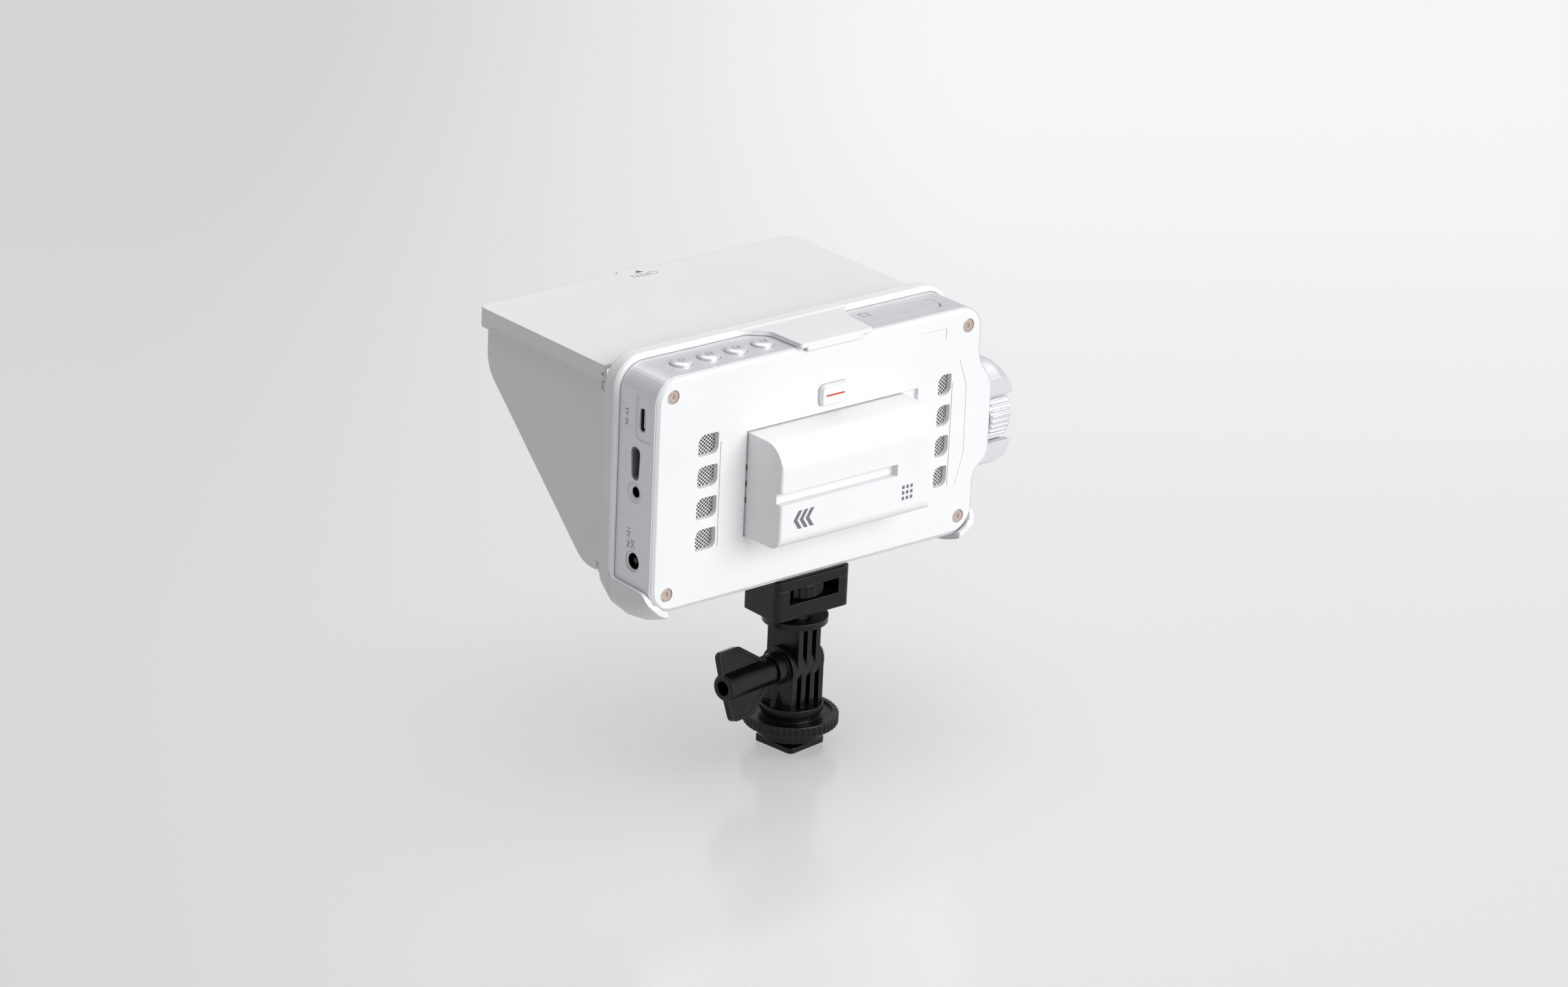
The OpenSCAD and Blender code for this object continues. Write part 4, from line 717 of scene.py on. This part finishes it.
# %% Words on the left side
# They read downwards, with their feet towards the screen
SIDE_X, SIDE_WORD_H = -74.1, 1.7
DOWNWARDS = Matrix(((0, 0, -1, 0), (0, -1, 0, 0), (-1, 0, 0, 0), (0, 0, 0, 1)))
SIDE_WORDS = (("charge_word", "5V IN", 16.5, 26.2), ("power_word", "12V IN", 13.5, -17.6),
              ("dc_word", "DC", 11.1, -19.8))
for name, word, y, z in SIDE_WORDS:
    lettering(name, word, (SIDE_X, y, z), SIDE_WORD_H, side_ink, "monitor",
              DOWNWARDS)
print("words on the side:", len(SIDE_WORDS))

# %% [markdown]
# ## Power sign
#
# The first key carries the common sign for power, an open ring with a bar in its gap. A
# font may lack it, so it is drawn: short plates make the ring, and one more is the bar.

# %% The ring and its bar
RING_INNER, RING_OUTER, RING_STEPS = 1.0, 1.25, 20
RING_START, RING_SWEEP = -60, 300
BAR_HALF, BAR_LOW, BAR_HIGH = 0.12, -1.5, -0.2
ring = [math.radians(RING_START + RING_SWEEP * k / RING_STEPS) for k in range(RING_STEPS + 1)]
bar = [(-BAR_HALF, BAR_LOW), (BAR_HALF, BAR_LOW), (BAR_HALF, BAR_HIGH), (-BAR_HALF, BAR_HIGH)]
bm = bmesh.new()
for a, b in zip(ring, ring[1:]):
    corners = ((RING_INNER, a), (RING_OUTER, a), (RING_OUTER, b), (RING_INNER, b))
    outline = [(KEY_X[0] + r * math.cos(t), KEY_Y + r * math.sin(t)) for r, t in corners]
    plate(bm, outline, on_top(KEY_TOP), INK_T)
plate(bm, [(KEY_X[0] + x, KEY_Y + y) for x, y in bar], on_top(KEY_TOP), INK_T)
piece("key_power_mark", bm, dark_ink, "key_1_body")
print("power sign made")

# %% [markdown]
# ## Floor
#
# The object stands on a pale coated sheet with a faint gloss, so that the mount shows a
# soft reflection. The sheet's tone is painted light: it grows from left to right, the more
# so the further off it is. That could come from more lamps, but these would burn out the
# white shells. So the painted light is in the sheet itself, and a part of it glows as
# painted light. Only the camera and the gloss of the object see that tone and glow, and the
# glow keeps the shadows faint. Diffuse light comes back from a plain pale sheet.

# %% The sheet's finish, with painted light
# The span of the painted light tone across the picture and away from the camera, in metres
ACROSS_SPAN = {"From_Min": -0.3, "From_Max": 0.1, "interpolation_type": "SMOOTHSTEP"}
AWAY_SPAN = {"From_Min": 0.0, "From_Max": 0.9, "interpolation_type": "SMOOTHSTEP"}
LIT_SHARE, GLOW_SHARE, BOUNCE_TONE = 0.62, 0.49, 0.9
SHEET_WHITE, SHEET_IOR = linear("FEFEFF"), 1.62
away_from_camera = level.cross(Vector((0, 0, -1)))


def pale_floor():
    mat, place = start("pale_floor")
    across = add(mat, "VectorMath", operation="DOT_PRODUCT", Vector=place, second=level)["Value"]
    away = add(mat, "VectorMath", operation="DOT_PRODUCT", Vector=place,
               second=away_from_camera)["Value"]
    near = add(mat, "MapRange", Value=across, To_Min=0.735, To_Max=0.865, **ACROSS_SPAN)["Result"]
    far = add(mat, "MapRange", Value=across, To_Min=0.66, To_Max=0.99, **ACROSS_SPAN)["Result"]
    # Painted light: the tone grows to the right and further off
    tone = add(mat, "MapRange", Value=away, To_Min=near, To_Max=far, **AWAY_SPAN)["Result"]
    ray = add(mat, "LightPath")
    seen = add(mat, "Math", operation="MAXIMUM", Value=ray["Is Camera Ray"],
               second=ray["Is Glossy Ray"])["Value"]
    lit = add(mat, "Math", operation="MULTIPLY", Value=tone, second=LIT_SHARE)["Value"]
    value = add(mat, "MapRange", Value=seen, To_Min=BOUNCE_TONE, To_Max=lit)["Result"]
    shade = add(mat, "HueSaturation", Color=SHEET_WHITE, Value=value)["Color"]
    # Painted light: a share of the tone glows for the camera and for gloss, which fills the shadows
    seen_tone = add(mat, "Math", operation="MULTIPLY", Value=tone, second=seen)["Value"]
    power = add(mat, "Math", operation="MULTIPLY", Value=seen_tone, second=GLOW_SHARE)["Value"]
    glow = add(mat, "Emission", Color=SHEET_WHITE, Strength=power)["Emission"]
    haze = add(mat, "TexNoise", Vector=place, Scale=per_mm(200), Detail=3.0)["Fac"]
    rough = add(mat, "MapRange", Value=haze, To_Min=0.16, To_Max=0.22)["Result"]
    sheet = add(mat, "BsdfPrincipled", Base_Color=shade, Roughness=rough, IOR=SHEET_IOR)["BSDF"]
    both = add(mat, "AddShader", Shader=sheet, second=glow)["Shader"]
    add(mat, "OutputMaterial", Surface=both)
    return mat


floor_finish = pale_floor()
print("sheet finish:", floor_finish.name)

# %% The sheet
# It lies a hair below the foot, so that no two faces share one place
FLOOR_HALF, FLOOR_DROP = 8, 0.0002
bm = bmesh.new()
bmesh.ops.create_grid(bm, x_segments=8, y_segments=8, size=FLOOR_HALF)
mesh = bpy.data.meshes.new("floor")
bm.to_mesh(mesh)
bm.free()
mesh.materials.append(floor_finish)
floor = bpy.data.objects.new("floor", mesh)
floor.location.z = -FLOOR_DROP
bpy.context.scene.collection.objects.link(floor)
print("floor of", 2 * FLOOR_HALF, "m made")

# %% [markdown]
# ## Light
#
# One large soft box stands behind the object on the right and lights the rear cover almost
# to white. A wide one hangs overhead. Small lamps would be simpler, but their shadows are
# hard. A dim even sky fills the left side, which stays more than a stop darker than the
# rear. Gloss sees the white walls of the studio, which are brighter than the sky that
# lights the shadows, and a low camera sees a pale backdrop above the sheet.

# %% Sky, walls and backdrop
SKY, WALLS, BACKDROP = 0.235, 0.6, 0.82
world = bpy.data.worlds.new("sky")
bpy.context.scene.world = world
world.use_nodes = True
sky = world.node_tree.nodes["Background"]
sky.inputs["Color"].default_value = linear("F6F7F9")
ray = add(world, "LightPath")
unseen = add(world, "MapRange", Value=ray["Is Glossy Ray"], To_Min=SKY, To_Max=WALLS)["Result"]
strength = add(world, "MapRange", Value=ray["Is Camera Ray"], To_Min=unseen,
               To_Max=BACKDROP)["Result"]
world.node_tree.links.new(strength, sky.inputs["Strength"])
print("sky %.3f, walls %.2f, backdrop %.2f" % (SKY, WALLS, BACKDROP))

# %% Soft boxes
def soft_box(name, where, size, watts, aim):
    light = bpy.data.lights.new(name, "AREA")
    light.shape, light.size, light.size_y, light.energy = "RECTANGLE", size[0], size[1], watts
    obj = bpy.data.objects.new(name, light)
    obj.location = where
    obj.rotation_mode = "QUATERNION"
    obj.rotation_quaternion = (Vector(aim) - Vector(where)).to_track_quat("-Z", "Y")
    bpy.context.scene.collection.objects.link(obj)
    return obj


rear_box = soft_box("rear_box", (0.8, -3.0, 1.3), (3.0, 2.4), watts=106, aim=(0, 0, 0.1))
top_box = soft_box("top_box", (0.3, 0.4, 2.6), (3.0, 3.0), watts=44, aim=(0, 0, 0))
print("soft boxes:", rear_box.name, top_box.name)

# %% [markdown]
# ## A lamp that leaves the sheet out
#
# A glossy sheet mirrors the rear box towards anyone who looks from the front, and burns
# out there. A rougher sheet would spread the mirror image but lose the mount's reflection.
# Light linking solves it: the rear box lights everything but the sheet.

# %% Light linking
unlit = bpy.data.collections.new("not_lit_by_rear_box")
unlit.objects.link(floor)
rear_box.light_linking.receiver_collection = unlit
unlit.collection_objects[0].light_linking.link_state = "EXCLUDE"
